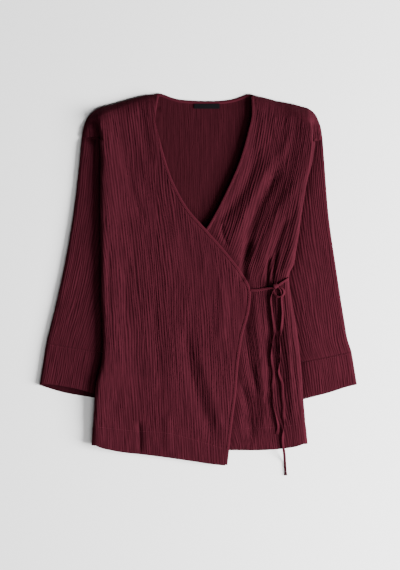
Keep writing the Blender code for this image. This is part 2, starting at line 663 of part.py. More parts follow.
def tube(name, side, top_start, top_end, low_start, low_end, rows, height, thick, bow, made_of):
    """A flattened tube: an upper layer of ridged columns and a plain lower one on the surface.

    The four arguments after side give, for a place across (0 outer fold, 1 inner fold), where
    the upper and the lower layer start and end, from above.
    """
    outward = -1 if side == "right" else 1
    count = SLEEVE_TOP_COLUMNS
    top_a = np.linspace(0.03, 0.97, count)
    a = np.concatenate([[0.0], top_a, [1.0], SLEEVE_LOW])
    kind = np.concatenate([[0.5], np.ones(count), [0.5], np.zeros(len(SLEEVE_LOW))])
    upper = top_start(a) * (1 - rows[:, None, None]) + top_end(a) * rows[:, None, None]
    lower = low_start(a) * (1 - rows[:, None, None]) + low_end(a) * rows[:, None, None]
    plan = lower + (upper - lower) * kind[None, :, None]
    plan[..., 0] -= outward * bow * np.sin(math.pi * rows)[:, None] * (1 - a)
    x, y = plan[..., 0], plan[..., 1]
    top = height(x, y, side)
    columns = len(a)
    ridged = (kind == 1)[None, :] & (rows > 0.01)[:, None] & (a < 0.9)[None, :]
    raised = crinkle(columns, len(rows), ridged * 1.0)
    z_face = np.where(kind == 1, top + raised, np.where(kind == 0, 0.0, top * 0.45))
    rim = np.isin(a, [0.03, 0.97])
    z_face = np.where(rim & (kind == 1), top - 1.6, z_face)
    z_face = np.where(rim & (kind == 0), 0.5, z_face)
    flat_top = np.where(rim, top - 1.6, top)
    z_lining = np.where(kind == 1, flat_top - thick, np.where(kind == 0, thick, top * 0.45))
    z_lining = np.where(rim & (kind == 0), thick + 0.5, z_lining)
    side_shift = np.where(a == 0.0, -outward * thick, np.where(a == 1.0, outward * thick, 0.0))
    side_shift = side_shift + np.where(rim, np.where(a < 0.5, -outward, outward) * thick * 0.5, 0.0)
    face = np.stack([x, y, z_face], axis=-1)
    lining = np.stack([x + side_shift, y, z_lining], axis=-1)
    return wall(name, face, lining, made_of, ring=True)


def sleeve(side, made_of):
    seam = CUFF_SEAMS[side]
    return tube(
        f"sleeve_{side}", side,
        lambda a: armhole(side, a, ARMHOLE_IN), lambda a: curve_at(seam, a),
        lambda a: armhole(side, a, SLEEVE_IN), lambda a: curve_at(seam, a),
        SLEEVE_ROWS, sleeve_top, WALL, SLEEVE_BOW, made_of,
    )


def cuff(side, made_of):
    """The band round the sleeve's end. Its upper layer stops a little short, so the mouth shows."""
    seam = np.asarray(CUFF_SEAMS[side], float) - [0.0, SEAM]
    end = CUFF_ENDS[side]

    def upper_end(a):
        line = curve_at(end, a)
        line[:, 1] += CUFF_MOUTH_RISE * np.sin(math.pi * a) ** 0.8
        return line

    return tube(
        f"cuff_{side}", side,
        lambda a: curve_at(seam, a), upper_end,
        lambda a: curve_at(seam, a), lambda a: curve_at(end, a),
        np.array([0.0, 0.5, 1.0]), sleeve_top, BAND_WALL, 0.0, made_of,
    )


# Bindings, ties and label -----------------------------------------------------------------------


def binding_front(side, made_of):
    """The bias strip along a front's edge, beside the cloth's edge and as high."""
    inward = -1 if side == "right" else 1
    whole = moved_in(NECK_EDGES[side] + LOWER_EDGES[side][1:], BINDING_WIDTH / 2, inward)
    plan = curve_at(whole, np.linspace(0.006, BINDING_ENDS[side], 46))
    cloth = moved_in(plan, BINDING_WIDTH / 2 + SEAM, inward)
    height = front_top(cloth[:, 0], cloth[:, 1], side) - WALL / 2
    height += BINDING_RAISE if side == "right" else 0.0
    path = np.column_stack([plan, height])
    across = np.column_stack([cloth - plan, np.zeros(len(plan))])
    return band(f"binding_front_{side}", path, across, BINDING_WIDTH, BINDING_THICK, made_of)


def binding_back_neck(made_of):
    line = curve_at(moved_in(BACK_NECK, BINDING_WIDTH / 2, -1), np.linspace(0.03, 0.97, 16))
    path = np.column_stack([line, np.full(len(line), BINDING_THICK / 2 + 0.2)])
    across = np.column_stack([moved_in(line, 1.0, -1) - line, np.zeros(len(line))])
    return band("binding_back_neck", path, across, BINDING_WIDTH, BINDING_THICK, made_of)


def tie_path(route, lift):
    """A tie's route laid on the left front, lifted clear, with points read from a smooth curve."""
    fine = curve_at(route, FINE)
    length = np.linalg.norm(np.diff(fine, axis=0), axis=1).sum()
    plan = curve_at(route, np.linspace(0, 1, max(8, round(length / TIE_POINT_STEP))))
    x, y = plan[:, 0], plan[:, 1]
    on_cloth = front_top(x, y, "left") + CRINKLE
    past_hem = ease((y_at_x(HEMS["left"], x) - 3.0 - y) / 26.0)
    height = on_cloth * (1 - past_hem) + TIE_DIAMETER / 2 + 0.1 + lift
    return np.column_stack([plan, height])


def tie(name, path, made_of):
    """A tie as a round cord of the same bulk: a bevelled curve with closed ends."""
    line = bpy.data.curves.new(name, "CURVE")
    line.dimensions = "3D"
    line.bevel_depth = TIE_DIAMETER / 2 * MM
    line.bevel_resolution = 2
    line.use_fill_caps = True
    spline = line.splines.new("POLY")
    spline.points.add(len(path) - 1)
    for point, place in zip(spline.points, path * MM):
        point.co = (*place, 1.0)
    made = bpy.data.objects.new(name, line)
    made.data.materials.append(made_of)
    bpy.data.collections[COLLECTION].objects.link(made)
    return made


def knot(made_of):
    """The two ties' knot: a small soft lump on the left front."""
    x, y = KNOT_AT
    floor = float(front_top(np.array([x]), np.array([y]), "left")[0]) + CRINKLE
    made = bmesh.new()
    bmesh.ops.create_uvsphere(made, u_segments=16, v_segments=10, radius=0.5)
    bmesh.ops.scale(made, vec=[size * MM for size in KNOT_SIZE], verts=made.verts)
    bmesh.ops.translate(
        made, vec=(x * MM, y * MM, (floor + KNOT_SIZE[2] / 2) * MM), verts=made.verts
    )
    mesh = bpy.data.meshes.new("knot")
    made.to_mesh(mesh)
    made.free()
    return finish("knot", mesh, made_of)


def label(made_of):
    """A bare woven strip under the back neck."""
    made = bmesh.new()
    bmesh.ops.create_cube(made, size=1.0)
    bmesh.ops.scale(made, vec=[size * MM for size in LABEL_SIZE], verts=made.verts)
    lift = WALL + CRINKLE + SEAM + LABEL_SIZE[2] / 2
    bmesh.ops.translate(
        made, vec=(LABEL_AT[0] * MM, LABEL_AT[1] * MM, lift * MM), verts=made.verts
    )
    mesh = bpy.data.meshes.new("label")
    made.to_mesh(mesh)
    made.free()
    return finish("label", mesh, made_of)


def main():
    for old in list(bpy.data.objects):
        bpy.data.objects.remove(old, do_unlink=True)
    collection = bpy.data.collections.new(COLLECTION)
    bpy.context.scene.collection.children.link(collection)
    cotton = material("crinkled_cotton", *COTTON)
    strip = material("bias_strip", *COTTON)
    dark = material("label_weave", *LABEL_BLACK)
    back(cotton)
    front("right", 43, 0.0, cotton)
    front("left", 36, 0.22, cotton)
    for side in ("right", "left"):
        sleeve(side, cotton)
        cuff(side, cotton)
        binding_front(side, strip)
    binding_back_neck(strip)
    tie("tie_front", tie_path(TIE_FRONT, 0.6), strip)
    tie("tie_side", tie_path(TIE_SIDE, 0.1), strip)
    tie("tie_loop", tie_path(TIE_LOOP, 0.6), strip)
    tie("tie_end_short", tie_path(TIE_END_SHORT, 0.6), strip)
    tie("tie_end_long", tie_path(TIE_END_LONG, 0.6), strip)
    knot(strip)
    label(dark)


main()
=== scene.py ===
"""A burgundy crinkled cotton wrap top, laid flat and seen from straight above.

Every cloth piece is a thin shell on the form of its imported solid. X runs to the viewer's right,
Y from hem to neck and Z up. Right and left are the wearer's. Tables and sizes are in
millimetres, and a mesh is turned to metres when it is made.
"""

import math

import bpy
import numpy as np
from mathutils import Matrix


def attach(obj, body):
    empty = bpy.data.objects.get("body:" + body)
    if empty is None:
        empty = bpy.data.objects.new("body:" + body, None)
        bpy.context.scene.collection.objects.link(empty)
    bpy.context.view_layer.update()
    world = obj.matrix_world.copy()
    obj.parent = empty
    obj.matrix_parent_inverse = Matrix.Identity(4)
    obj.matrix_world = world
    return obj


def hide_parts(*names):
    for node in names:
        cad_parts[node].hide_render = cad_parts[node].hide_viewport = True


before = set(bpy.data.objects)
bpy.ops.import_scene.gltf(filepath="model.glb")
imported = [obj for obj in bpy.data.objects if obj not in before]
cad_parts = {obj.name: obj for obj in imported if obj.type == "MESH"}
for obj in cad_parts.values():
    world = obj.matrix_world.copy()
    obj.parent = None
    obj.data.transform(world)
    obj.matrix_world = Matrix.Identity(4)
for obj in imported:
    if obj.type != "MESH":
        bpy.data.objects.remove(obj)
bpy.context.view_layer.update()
MM = 0.001

# Sizes of the cloth ----------------------------------------------------------------------------

WALL = 1.2
BAND_WALL = 2.0  # the doubled cloth of a cuff
SEAM = 0.3  # from a piece to its neighbour
LAYER_GAP = 0.8  # from the lower front to the upper one
TUCK = 2.2  # how far the left front sinks under the right one
TUCK_START, TUCK_LENGTH = 8.0, 20.0  # it starts this far outside the other's edge, over this length
TUCK_TOP_Y, TUCK_FADE = 140.0, 40.0  # it sinks below this y, all the way one fade lower
NECK_READ_Y = 200.0  # over this the right front's edge bends back, so it is read no higher

RIB = 4.3  # from one crinkle to the next
CRINKLE = 0.9  # about how high they stand, for what lies on them
CRINKLE_SUNK = 0.1  # how far a front's valleys lie below its face
FRONT_CRINKLE, SLEEVE_CRINKLE, BACK_CRINKLE = 1.75, 1.25, 0.9  # height of a whole crest
SLEEVE_GRAIN, BACK_GRAIN = 1.15, 1.25  # how much finer the crinkle is there
LINING_SHARE = 0.2  # how much of the crinkle shows on the hidden inner side

BINDING_WIDTH, BINDING_THICK = 5.6, 2.2
BINDING_RAISE = 0.5  # how much higher the right front's binding lies
BINDING_WAVER = 0.35  # how much a binding goes up and down along its edge
EDGE_HELD = 1.4  # how far a cloth edge goes into its binding
BINDING_ENDS = {"right": 0.998, "left": 0.982}  # share of the edge where each one stops

FRONT_HEIGHT = 13.5  # underside of the lower front in the middle
ROLL = 7.0  # radius of the roll along each side
ROLL_TOP, ROLL_SPREAD = 23.0, 30.0  # its top, and how far from it the cloth comes down
ROLL_LOW_Y, ROLL_FADE = -310.0, 140.0  # it has half its rise at this y, and all one fade higher
SHOULDER_ROUND = 34.0  # the fronts curve down to the shoulder seam over this length
HEM_Y, HEM_DROP, HEM_LENGTH = -312.0, 3.0, 100.0  # the fronts come down towards the hem

SLEEVE_HEIGHT = 10.0
SLEEVE_DIP, DIP_LENGTH = 6.2, 14.0  # how much lower a sleeve is beside the body
ARMHOLE_IN, SLEEVE_IN, SIDE_SEAM_IN = 9.0, 12.4, 13.6  # inward from the side's outermost line
ARMHOLE_START_Y, ARMHOLE_END_Y, UNDERARM_Y = 256.4, 105.0, 72.0
SEAM_START_Y = 80.0  # below this the front's edge is the side seam

INWARD = {"right": 1, "left": -1}  # along X, from a side towards the middle

SIDES = {
    "right": (
        (-191.8, 305.0), (-187.2, 285.8), (-181.3, 252.7), (-179.5, 229.0), (-180.7, 181.9),
        (-180.6, 126.2), (-179.6, -18.9), (-180.6, -163.9), (-186.9, -188.1), (-191.8, -236.6),
        (-196.7, -308.0),
    ),
    "left": (
        (203.0, 302.0), (214.5, 283.0), (214.8, 252.7), (210.0, 217.4), (200.7, 181.9),
        (179.8, 53.7), (174.3, 25.3), (167.6, 12.0), (166.5, 1.3), (167.6, -12.0),
        (174.3, -52.5), (181.3, -94.9), (188.6, -158.7), (192.8, -216.5), (200.8, -305.3),
    ),
}
SHOULDERS = {
    "right": (
        (-73.0, 343.2), (-97.0, 341.2), (-117.5, 336.0), (-137.8, 330.3), (-156.3, 324.8),
        (-180.4, 319.0), (-191.5, 313.4), (-198.9, 307.6), (-204.4, 301.9), (-208.1, 296.0),
    ),
    "left": (
        (93.0, 343.2), (100.0, 341.6), (123.0, 336.0), (143.4, 330.3), (174.8, 324.8),
        (189.3, 320.6), (203.3, 317.0), (212.3, 310.8), (218.6, 303.4), (221.2, 297.6),
    ),
}
CAPS = {
    "right": ((-208.1, 296.0), (-211.8, 284.9), (-216.5, 262.7)),
    "left": ((221.2, 297.6), (226.2, 283.4), (230.4, 259.0)),
}
NECK_EDGES = {
    "right": (
        (-73.0, 342.6), (-79.0, 295.6), (-68.5, 247.2), (-44.2, 174.6), (-20.0, 131.4),
        (13.9, 92.5), (52.5, 48.8), (81.6, 10.2), (96.0, -18.9),
    ),
    "left": (
        (96.5, 342.6), (98.4, 305.3), (91.2, 271.4), (72.0, 208.5), (52.5, 165.0),
        (33.1, 126.2), (16.3, 97.3), (-21.0, 53.7), (-56.0, 13.0), (-75.0, -13.0),
    ),
}
LOWER_EDGES = {
    "right": (
        (96.0, -18.9), (95.0, -52.7), (81.6, -106.0), (74.4, -154.3), (69.4, -212.4),
        (62.2, -270.1), (53.4, -345.8),
    ),
    "left": ((-75.0, -13.0), (-83.0, -42.0), (-84.0, -94.0), (-71.0, -205.0), (-43.5, -312.0)),
}
HEMS = {
    "right": (
        (-196.7, -309.6), (-184.0, -315.4), (-160.0, -320.2), (-89.7, -327.0), (-6.5, -338.0),
        (21.3, -342.4), (53.4, -345.8),
    ),
    "left": (
        (200.8, -304.0), (188.4, -309.4), (156.3, -315.0), (113.8, -317.4), (63.8, -317.0),
        (10.0, -317.0), (-43.5, -312.0),
    ),
}
BACK_HEM = ((-196.7, -300.0), (-90.0, -304.0), (60.0, -304.0), (199.6, -297.0))
BACK_NECK = (
    (-80.0, 343.4), (-72.5, 344.2), (-62.0, 341.6), (-52.7, 338.0), (-41.6, 334.6), (-15.7, 331.4),
    (21.3, 330.2), (48.0, 331.2), (67.5, 334.6), (82.3, 339.8), (92.5, 343.6), (101.0, 342.0),
)
CUFF_SEAMS = {
    "right": ((-282.1, -118.4), (-225.0, -128.2), (-168.0, -137.5)),
    "left": ((284.0, -134.5), (230.0, -146.0), (176.0, -156.5)),
}
CUFF_ENDS = {
    "right": ((-294.8, -196.8), (-265.0, -206.4), (-242.0, -212.2), (-219.2, -216.2), (-179.5, -221.8)),
    "left": ((294.0, -195.4), (267.0, -202.8), (247.0, -209.6), (215.0, -218.2), (185.0, -226.0)),
}
HEM_LINES = {
    "right": ((-190.0, -273.0), (-121.0, -281.0), (-60.0, -285.0), (-6.5, -298.0), (46.0, -314.0)),
    "left": ((-60.0, -276.0), (60.0, -277.5), (110.0, -276.0), (150.0, -273.5), (189.0, -268.0)),
}
CUFF_MOUTH_RISE = {"right": 12.0, "left": 1.0}  # how far a cuff's upper layer stops short
SLEEVE_BENDS = {  # share of the way down and how far in the outer fold is there
    "right": ((0.0, 0.0), (0.25, 6.9), (0.5, 9.7), (0.75, 6.9), (1.0, 0.0)),
    "left": ((0.0, 0.0), (0.2, 5.0), (0.35, 8.2), (0.6, 7.8), (0.85, 5.8), (0.94, 4.4), (1.0, 0.0)),
}
SLEEVE_UNDER = 10.0  # the sleeve's inner fold goes at least this far under the body

# Folds of the fronts, each a soft ridge (height over 0) or trough (under 0) along three points:
# x0, y0, x1, y1, x2, y2, half width, height
FOLDS = (
    # left front, from its shoulder towards the knot
    (114.0, 245.0, 82.0, 165.0, 34.0, 98.0, 11.0, -4.4),
    (146.0, 232.0, 95.0, 133.0, 58.0, 64.0, 10.0, 2.6),
    (151.0, 212.0, 105.0, 120.0, 80.0, 24.0, 11.5, -5.8),
    (95.0, 74.0, 85.0, 34.0, 83.0, -6.0, 7.5, -5.0),
    (187.0, 186.0, 141.0, 110.0, 111.0, 8.0, 10.0, 2.6),
    (168.0, 120.0, 146.0, 66.0, 131.0, 20.0, 6.5, -2.4),
    (184.0, 150.0, 163.0, 62.0, 150.0, 8.0, 6.0, -1.6),
    (131.0, 44.0, 127.5, 10.0, 127.0, -14.0, 3.6, -4.4),
    (146.0, 52.0, 140.0, 20.0, 136.5, -10.0, 3.2, -3.6),
    (44.0, 104.0, 45.0, 82.0, 56.0, 62.0, 4.5, -2.6),
    (109.0, 320.0, 106.0, 270.0, 92.0, 215.0, 6.0, -1.6),
    (170.0, 305.0, 166.0, 262.0, 150.0, 222.0, 7.0, 1.8),
    # left front, below the knot
    (128.0, -18.0, 128.5, -40.0, 131.0, -95.0, 5.0, -2.4),
    (131.0, -80.0, 130.0, -150.0, 131.0, -215.0, 5.0, -2.2),
    (146.0, -44.0, 147.0, -110.0, 146.0, -215.0, 4.5, -1.7),
    (143.5, -30.0, 144.5, -52.0, 146.0, -80.0, 3.0, 1.4),
    (88.0, -70.0, 92.0, -140.0, 112.0, -215.0, 7.0, -3.2),
    (78.0, -190.0, 92.0, -240.0, 100.0, -300.0, 9.0, -3.4),
    (104.0, -30.0, 112.0, -130.0, 124.0, -290.0, 8.0, 2.8),
    (161.0, -50.0, 168.0, -160.0, 178.0, -280.0, 7.0, 2.2),
    (170.0, -30.0, 176.0, -120.0, 183.0, -230.0, 5.0, -1.6),
    # right front
    (-27.0, -85.0, -12.0, -180.0, 30.0, -300.0, 11.5, -3.5),
    (0.0, -120.0, 20.0, -200.0, 44.0, -280.0, 9.0, 2.0),
    (-106.0, 326.0, -101.0, 270.0, -88.0, 212.0, 9.0, -1.8),
    (-158.0, 275.0, -110.0, 190.0, -45.0, 75.0, 15.0, -1.8),
    (-142.0, 235.0, -124.0, 170.0, -104.0, 110.0, 7.0, -1.4),
    (-60.0, 205.0, -35.0, 150.0, 2.0, 100.0, 7.0, 1.4),
    (-160.0, 72.0, -170.0, 0.0, -168.0, -76.0, 9.0, -2.4),
    (-132.0, 40.0, -134.0, -40.0, -136.0, -120.0, 8.0, -1.2),
    (-145.0, -60.0, -140.0, -150.0, -138.0, -260.0, 16.0, 1.6),
    (-80.0, -40.0, -76.0, -130.0, -70.0, -230.0, 10.0, -1.6),
    (-110.0, -262.0, -109.0, -290.0, -108.0, -322.0, 5.0, -3.2),
    (-60.0, -250.0, -58.0, -285.0, -56.0, -322.0, 7.0, 1.4),
    (40.0, 10.0, 44.0, -60.0, 38.0, -120.0, 9.0, 1.8),
)
FOLD_STEPS = 40

# Curves, heights and noise ---------------------------------------------------------------------


def curve_at(points, fraction):
    """A smooth curve through the points (cubic between each two), read at shares of its length."""
    points = np.asarray(points, float)
    steps = np.linalg.norm(np.diff(points, axis=0), axis=1)
    knots = np.concatenate([[0.0], np.cumsum(steps)])
    slope = np.gradient(points, knots, axis=0)
    place = np.clip(np.asarray(fraction, float), 0.0, 1.0) * knots[-1]
    low = np.clip(np.searchsorted(knots, place, side="right") - 1, 0, len(steps) - 1)
    u = ((place - knots[low]) / steps[low])[..., None]
    span = steps[low][..., None]
    return (
        (2 * u**3 - 3 * u**2 + 1) * points[low]
        + (u**3 - 2 * u**2 + u) * span * slope[low]
        + (3 * u**2 - 2 * u**3) * points[low + 1]
        + (u**3 - u**2) * span * slope[low + 1]
    )


FINE = np.linspace(0.0, 1.0, 400)
FRONT_EDGES = {side: NECK_EDGES[side] + LOWER_EDGES[side][1:] for side in ("right", "left")}


def x_at_y(points, y):
    """Where a curve that runs down the garment is at each y."""
    line = curve_at(points, FINE)[::-1]
    return np.interp(y, line[:, 1], line[:, 0])


def y_at_x(points, x):
    """Where a curve that runs across the garment is at each x."""
    line = curve_at(points, FINE)
    line = line[np.argsort(line[:, 0])]
    return np.interp(x, line[:, 0], line[:, 1])


def path_length(points):
    """How far along the path each of its points is."""
    return np.concatenate([[0.0], np.cumsum(np.linalg.norm(np.diff(points, axis=0), axis=1))])


def unit(rows):
    """Each row over its own length."""
    return rows / np.linalg.norm(rows, axis=1)[:, None]


def moved_in(points, distance, side):
    """The curve moved by a distance, side 1 to its left as it runs and -1 to its right."""
    points = np.asarray(points, float)
    along = unit(np.gradient(points, axis=0))
    return points + side * distance * np.stack([-along[:, 1], along[:, 0]], axis=1)


def crossways(path):
    """Level directions across a path in space: its direction (x, y) turned to (-y, x)."""
    along = np.gradient(path, axis=0)
    return np.column_stack([-along[:, 1], along[:, 0], 0 * along[:, 0]])


def ease(value):
    """0 to 1 with soft ends: 3v^2 - 2v^3."""
    value = np.clip(value, 0.0, 1.0)
    return value * value * (3 - 2 * value)


def bell(value):
    """exp(-v^2)"""
    return np.exp(-np.square(value))


LATTICE_LAYERS, LATTICE_ROWS, LATTICE_COLUMNS = 6, 64, 256
LATTICE = np.random.default_rng(11).random((LATTICE_LAYERS, LATTICE_ROWS, LATTICE_COLUMNS))


def noise(u, v, layer):
    """Smooth noise from 0 to 1: the lattice's random values at whole numbers, eased between."""
    i, j = np.floor(u).astype(int), np.floor(v).astype(int)
    a, b = ease(u - i), ease(v - j)
    left, right = i % LATTICE_COLUMNS, (i + 1) % LATTICE_COLUMNS
    low, high = (
        LATTICE[layer, row, left] * (1 - a) + LATTICE[layer, row, right] * a
        for row in (j % LATTICE_ROWS, (j + 1) % LATTICE_ROWS)
    )
    return low * (1 - b) + high * b


WANDER = (  # how many ribs, width and length of the noise, and its shifts across and along
    (1.6, 38.0, 170.0, 1, 0),
    (0.9, 13.0, 80.0, 0, 1),
    (0.5, 6.5, 34.0, 3, 0),
)


def crinkle(u, v, shift):
    """Height of the crinkle, 0 to about 1: ribs of |sin(pi phase)|^0.75, so the valleys are sharp.

    u is the place across the grain and v along it. phase = u / RIB and slow noise, so ribs wander,
    widen, narrow and run into each other. A quarter is ribs of twice the width, with noise of their
    own, and all of it swells and sinks with finer noise. shift moves a piece in the noise.
    """
    wander = sum(
        ribs * noise(u / width + across * shift, v / length + along * shift, layer)
        for layer, (ribs, width, length, across, along) in enumerate(WANDER)
    )
    phase = u / RIB + wander
    broad = np.abs(np.sin(math.pi * phase)) ** 0.75
    paired = np.abs(np.sin(math.pi * (0.5 * phase + 1.4 * noise(u / 9 + shift, v / 40, 3)))) ** 0.8
    swell = 0.6 + 0.5 * noise(u / 4.6 + 7 * shift, v / 24 + shift, 4)
    return swell * (0.74 * broad + 0.26 * paired)


def fold_height(x, y):
    """The sum of the folds: each a bell across its line, eased down over a fifth of both ends."""
    height = np.zeros_like(x)
    for *points, half_width, rise in FOLDS:
        line = curve_at(np.reshape(points, (3, 2)), np.linspace(0, 1, FOLD_STEPS))
        low, high = line.min(axis=0) - 3 * half_width, line.max(axis=0) + 3 * half_width
        near = (x > low[0]) & (x < high[0]) & (y > low[1]) & (y < high[1])
        gap = np.hypot(x[near][:, None] - line[:, 0], y[near][:, None] - line[:, 1])
        place = gap.argmin(axis=-1) / (FOLD_STEPS - 1)
        taper = ease(np.minimum(place, 1 - place) * 5 + 0.15)
        height[near] += rise * taper * bell(gap.min(axis=-1) / half_width)
    return height


def side_gap(x, y):
    """How far a point is inward of the nearer side's outermost line."""
    return np.minimum(x - x_at_y(SIDES["right"], y), x_at_y(SIDES["left"], y) - x)


def shoulder_y(x):
    """The shoulder seam's y, level across the neck."""
    seam = np.concatenate([np.asarray(SHOULDERS["right"])[::-1], np.asarray(SHOULDERS["left"])])
    return np.interp(x, seam[:, 0], seam[:, 1])


def front_under(x, y):
    """Height of the lower front's underside.

    FRONT_HEIGHT, plus a bell of the distance to the roll at the side, plus the folds, which fade
    near the roll, less the drop towards the hem. Near the shoulder seam it curves down to the back
    panel as a quarter circle.
    """
    inward = side_gap(x, y) - ROLL
    rolled = (ROLL_TOP - WALL - FRONT_HEIGHT) * (0.5 + 0.5 * ease((y - ROLL_LOW_Y) / ROLL_FADE))
    height = FRONT_HEIGHT + rolled * bell(np.maximum(inward, 0.0) / ROLL_SPREAD)
    height += fold_height(x, y) * ease(inward / 14 + 0.2)
    height -= HEM_DROP * (1 - ease((y - HEM_Y) / HEM_LENGTH))
    below_shoulder = np.clip((shoulder_y(x) - y) / SHOULDER_ROUND, 0.0, 1.0)
    edge = WALL + SEAM
    return edge + (height - edge) * np.sqrt(1 - (1 - below_shoulder) ** 2)


def lift(x, y, side):
    """How far a front lies over the height that both follow: the left one sinks under the right."""
    if side == "right":
        return np.full_like(x, WALL + LAYER_GAP)
    under = x_at_y(FRONT_EDGES["right"], np.minimum(y, NECK_READ_Y)) + TUCK_START - x
    return -TUCK * ease(under / TUCK_LENGTH) * ease((TUCK_TOP_Y - y) / TUCK_FADE)


def front_top(x, y, side):
    """Height of a front's face without its crinkle."""
    return front_under(x, y) + lift(x, y, side) + WALL


def soft_part(y, width):
    """y where it is over 0, and 0 below, with a soft bend of that width."""
    return 0.5 * (y + np.sqrt(y * y + width * width)) - 0.5 * width


def grain(x, y, side):
    """Place across the grain. The creases are its level lines. up and down are y over and under 0.

    Right front: u = x + 0.12 up - 0.05 down. Left front over 0: lean = x - 0.17 up - 36 tanh(up / 130),
    and past 60 the creases draw together upwards, lean - 60 = (u - 60) (1 - spread up). Left front
    under 0: u = x - 0.45 up - fan down, where fan is 0.05, more round x = 70 and past x = 130.
    """
    up, down = soft_part(y, 30.0), soft_part(-y, 30.0)
    if side == "right":
        return x + 0.12 * up - 0.05 * down
    spread = 0.0008
    lean = x - 0.17 * up - 36.0 * np.tanh(up / 130)
    above = np.where(lean < 60, lean, (lean - 60 * spread * up) / (1 - spread * up))
    fan = 0.05 + 0.22 * bell((x - 70) / 55) + 0.07 * ease((x - 130) / 40)
    return np.where(y > 0, above, x - 0.45 * up - fan * down)

# Meshes ----------------------------------------------------------------------------------------

STRIP_SIDES = 12
STRIP_CREST = 0.6  # the crinkle's height that a strip's colour is read at


def normals(points, ring=False):
    """Unit normals of a grid of points: the cross product of its two steps."""
    across = np.gradient(points, axis=1)
    if ring:
        across = (np.roll(points, -1, axis=1) - np.roll(points, 1, axis=1)) / 2
    made = np.cross(across, np.gradient(points, axis=0))
    return made / np.maximum(np.linalg.norm(made, axis=-1, keepdims=True), 1e-9)


def finish(name, points, faces, made_of, marks=None, sharp=50.0):
    """A mesh object in metres, smooth but for its sharp edges, with its grain marks."""
    mesh = bpy.data.meshes.new(name)
    mesh.from_pydata(points * MM, [], faces)
    mesh.update()
    if marks is not None:
        stored = mesh.attributes.new("grain", "FLOAT_VECTOR", "POINT")
        stored.data.foreach_set("vector", np.ascontiguousarray(marks, np.float32).ravel())
    mesh.shade_smooth()
    mesh.set_sharp_from_angle(angle=math.radians(sharp))
    piece = bpy.data.objects.new(name, mesh)
    mesh.materials.append(made_of)
    bpy.context.scene.collection.objects.link(piece)
    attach(piece, "root")
    return piece


def shell(name, face, lining, marks, made_of, cells=None, ring=False):
    """A cloth wall between two grids of points, closed round its borders by a rim of squares.

    cells says which squares of the grid are cloth. A ring's last column joins its first.
    """
    rows, columns = face.shape[:2]
    count = rows * columns
    if cells is None:
        cells = np.ones((rows - 1, columns if ring else columns - 1), bool)
    index = np.arange(count).reshape(rows, columns)
    if ring:
        index = np.concatenate([index, index[:, :1]], axis=1)
    corner = (index[:-1, :-1], index[:-1, 1:], index[1:, 1:], index[1:, :-1])
    faces = [np.stack([part[cells] for part in corner], axis=1)]
    faces.append(faces[0][:, ::-1] + count)
    above, below = np.zeros_like(cells), np.zeros_like(cells)
    above[1:], below[:-1] = cells[:-1], cells[1:]
    before = np.roll(cells, 1, axis=1) if ring else np.pad(cells, ((0, 0), (1, 0)))[:, :-1]
    after = np.roll(cells, -1, axis=1) if ring else np.pad(cells, ((0, 0), (0, 1)))[:, 1:]
    for open_side, (first, second) in (
        (cells & ~above, (0, 1)), (cells & ~after, (1, 2)),
        (cells & ~below, (2, 3)), (cells & ~before, (3, 0)),
    ):
        start, end = corner[first][open_side], corner[second][open_side]
        faces.append(np.stack([end, start, start + count, end + count], axis=1))
    points = np.concatenate([face.reshape(-1, 3), lining.reshape(-1, 3)])
    marks = np.concatenate([marks.reshape(-1, 3)] * 2)
    used, faces = np.unique(np.concatenate(faces), return_inverse=True)
    faces = faces.reshape(-1, 4)
    points, marks = points[used], marks[used]

    # A closed wall whose faces point outwards has them point away from its middle on the whole
    corners = points[faces]
    area = np.cross(corners[:, 1] - corners[:, 0], corners[:, 3] - corners[:, 0])
    if (area * (corners.mean(axis=1) - points.mean(axis=0))).sum() < 0:
        faces = faces[:, ::-1]
    return finish(name, points, faces, made_of, marks)


def strip(name, path, across, width, thick, made_of, turn=None, marks_at=0.0):
    """A flat strip carried along a path, turned round it by an angle where one is given.

    Its section is twelve points of an oval: +-|cos|^0.7 half widths across, sin half thicknesses up.
    marks_at is its own part of the cloth's pattern, across the grain.
    """
    along = unit(np.gradient(path, axis=0))
    across = unit(across - along * (across * along).sum(axis=1)[:, None])
    up = np.cross(across, along)
    up *= np.sign(up[:, 2:] + 1e-9)
    if turn is not None:
        cos, sin = np.cos(turn)[:, None], np.sin(turn)[:, None]
        across, up = across * cos + up * sin, up * cos - across * sin
    angle = np.arange(STRIP_SIDES) * math.tau / STRIP_SIDES
    flat = np.sign(np.cos(angle)) * np.abs(np.cos(angle)) ** 0.7
    width = np.broadcast_to(width, len(path))[:, None, None]
    rings = (
        path[:, None] + across[:, None] * flat[None, :, None] * width / 2
        + up[:, None] * np.sin(angle)[None, :, None] * thick / 2
    )
    points = np.concatenate([rings.reshape(-1, 3), path[[0, -1]]])
    marks = np.zeros((len(points), 3))
    marks[:-2, 0] = (flat[None, :] * width[..., 0] / 2).ravel() + marks_at
    marks[:-2, 1] = np.repeat(path_length(path), STRIP_SIDES)
    marks[:, 2] = STRIP_CREST
    first = len(path) * STRIP_SIDES
    index = np.arange(first).reshape(-1, STRIP_SIDES)
    index = np.concatenate([index, index[:, :1]], axis=1)
    around = np.stack([index[:-1, :-1], index[:-1, 1:], index[1:, 1:], index[1:, :-1]], axis=-1)
    caps = [(first, index[0, i + 1], index[0, i]) for i in range(STRIP_SIDES)]
    caps += [(first + 1, index[-1, i], index[-1, i + 1]) for i in range(STRIP_SIDES)]
    faces = around.reshape(-1, 4).tolist() + caps
    ring = rings[0] - path[0]
    if np.dot(np.cross(ring[0], ring[1]), along[0]) > 0:
        faces = [face[::-1] for face in faces]
    return finish(name, points, faces, made_of, marks, 70.0)


# Looks -----------------------------------------------------------------------------------------

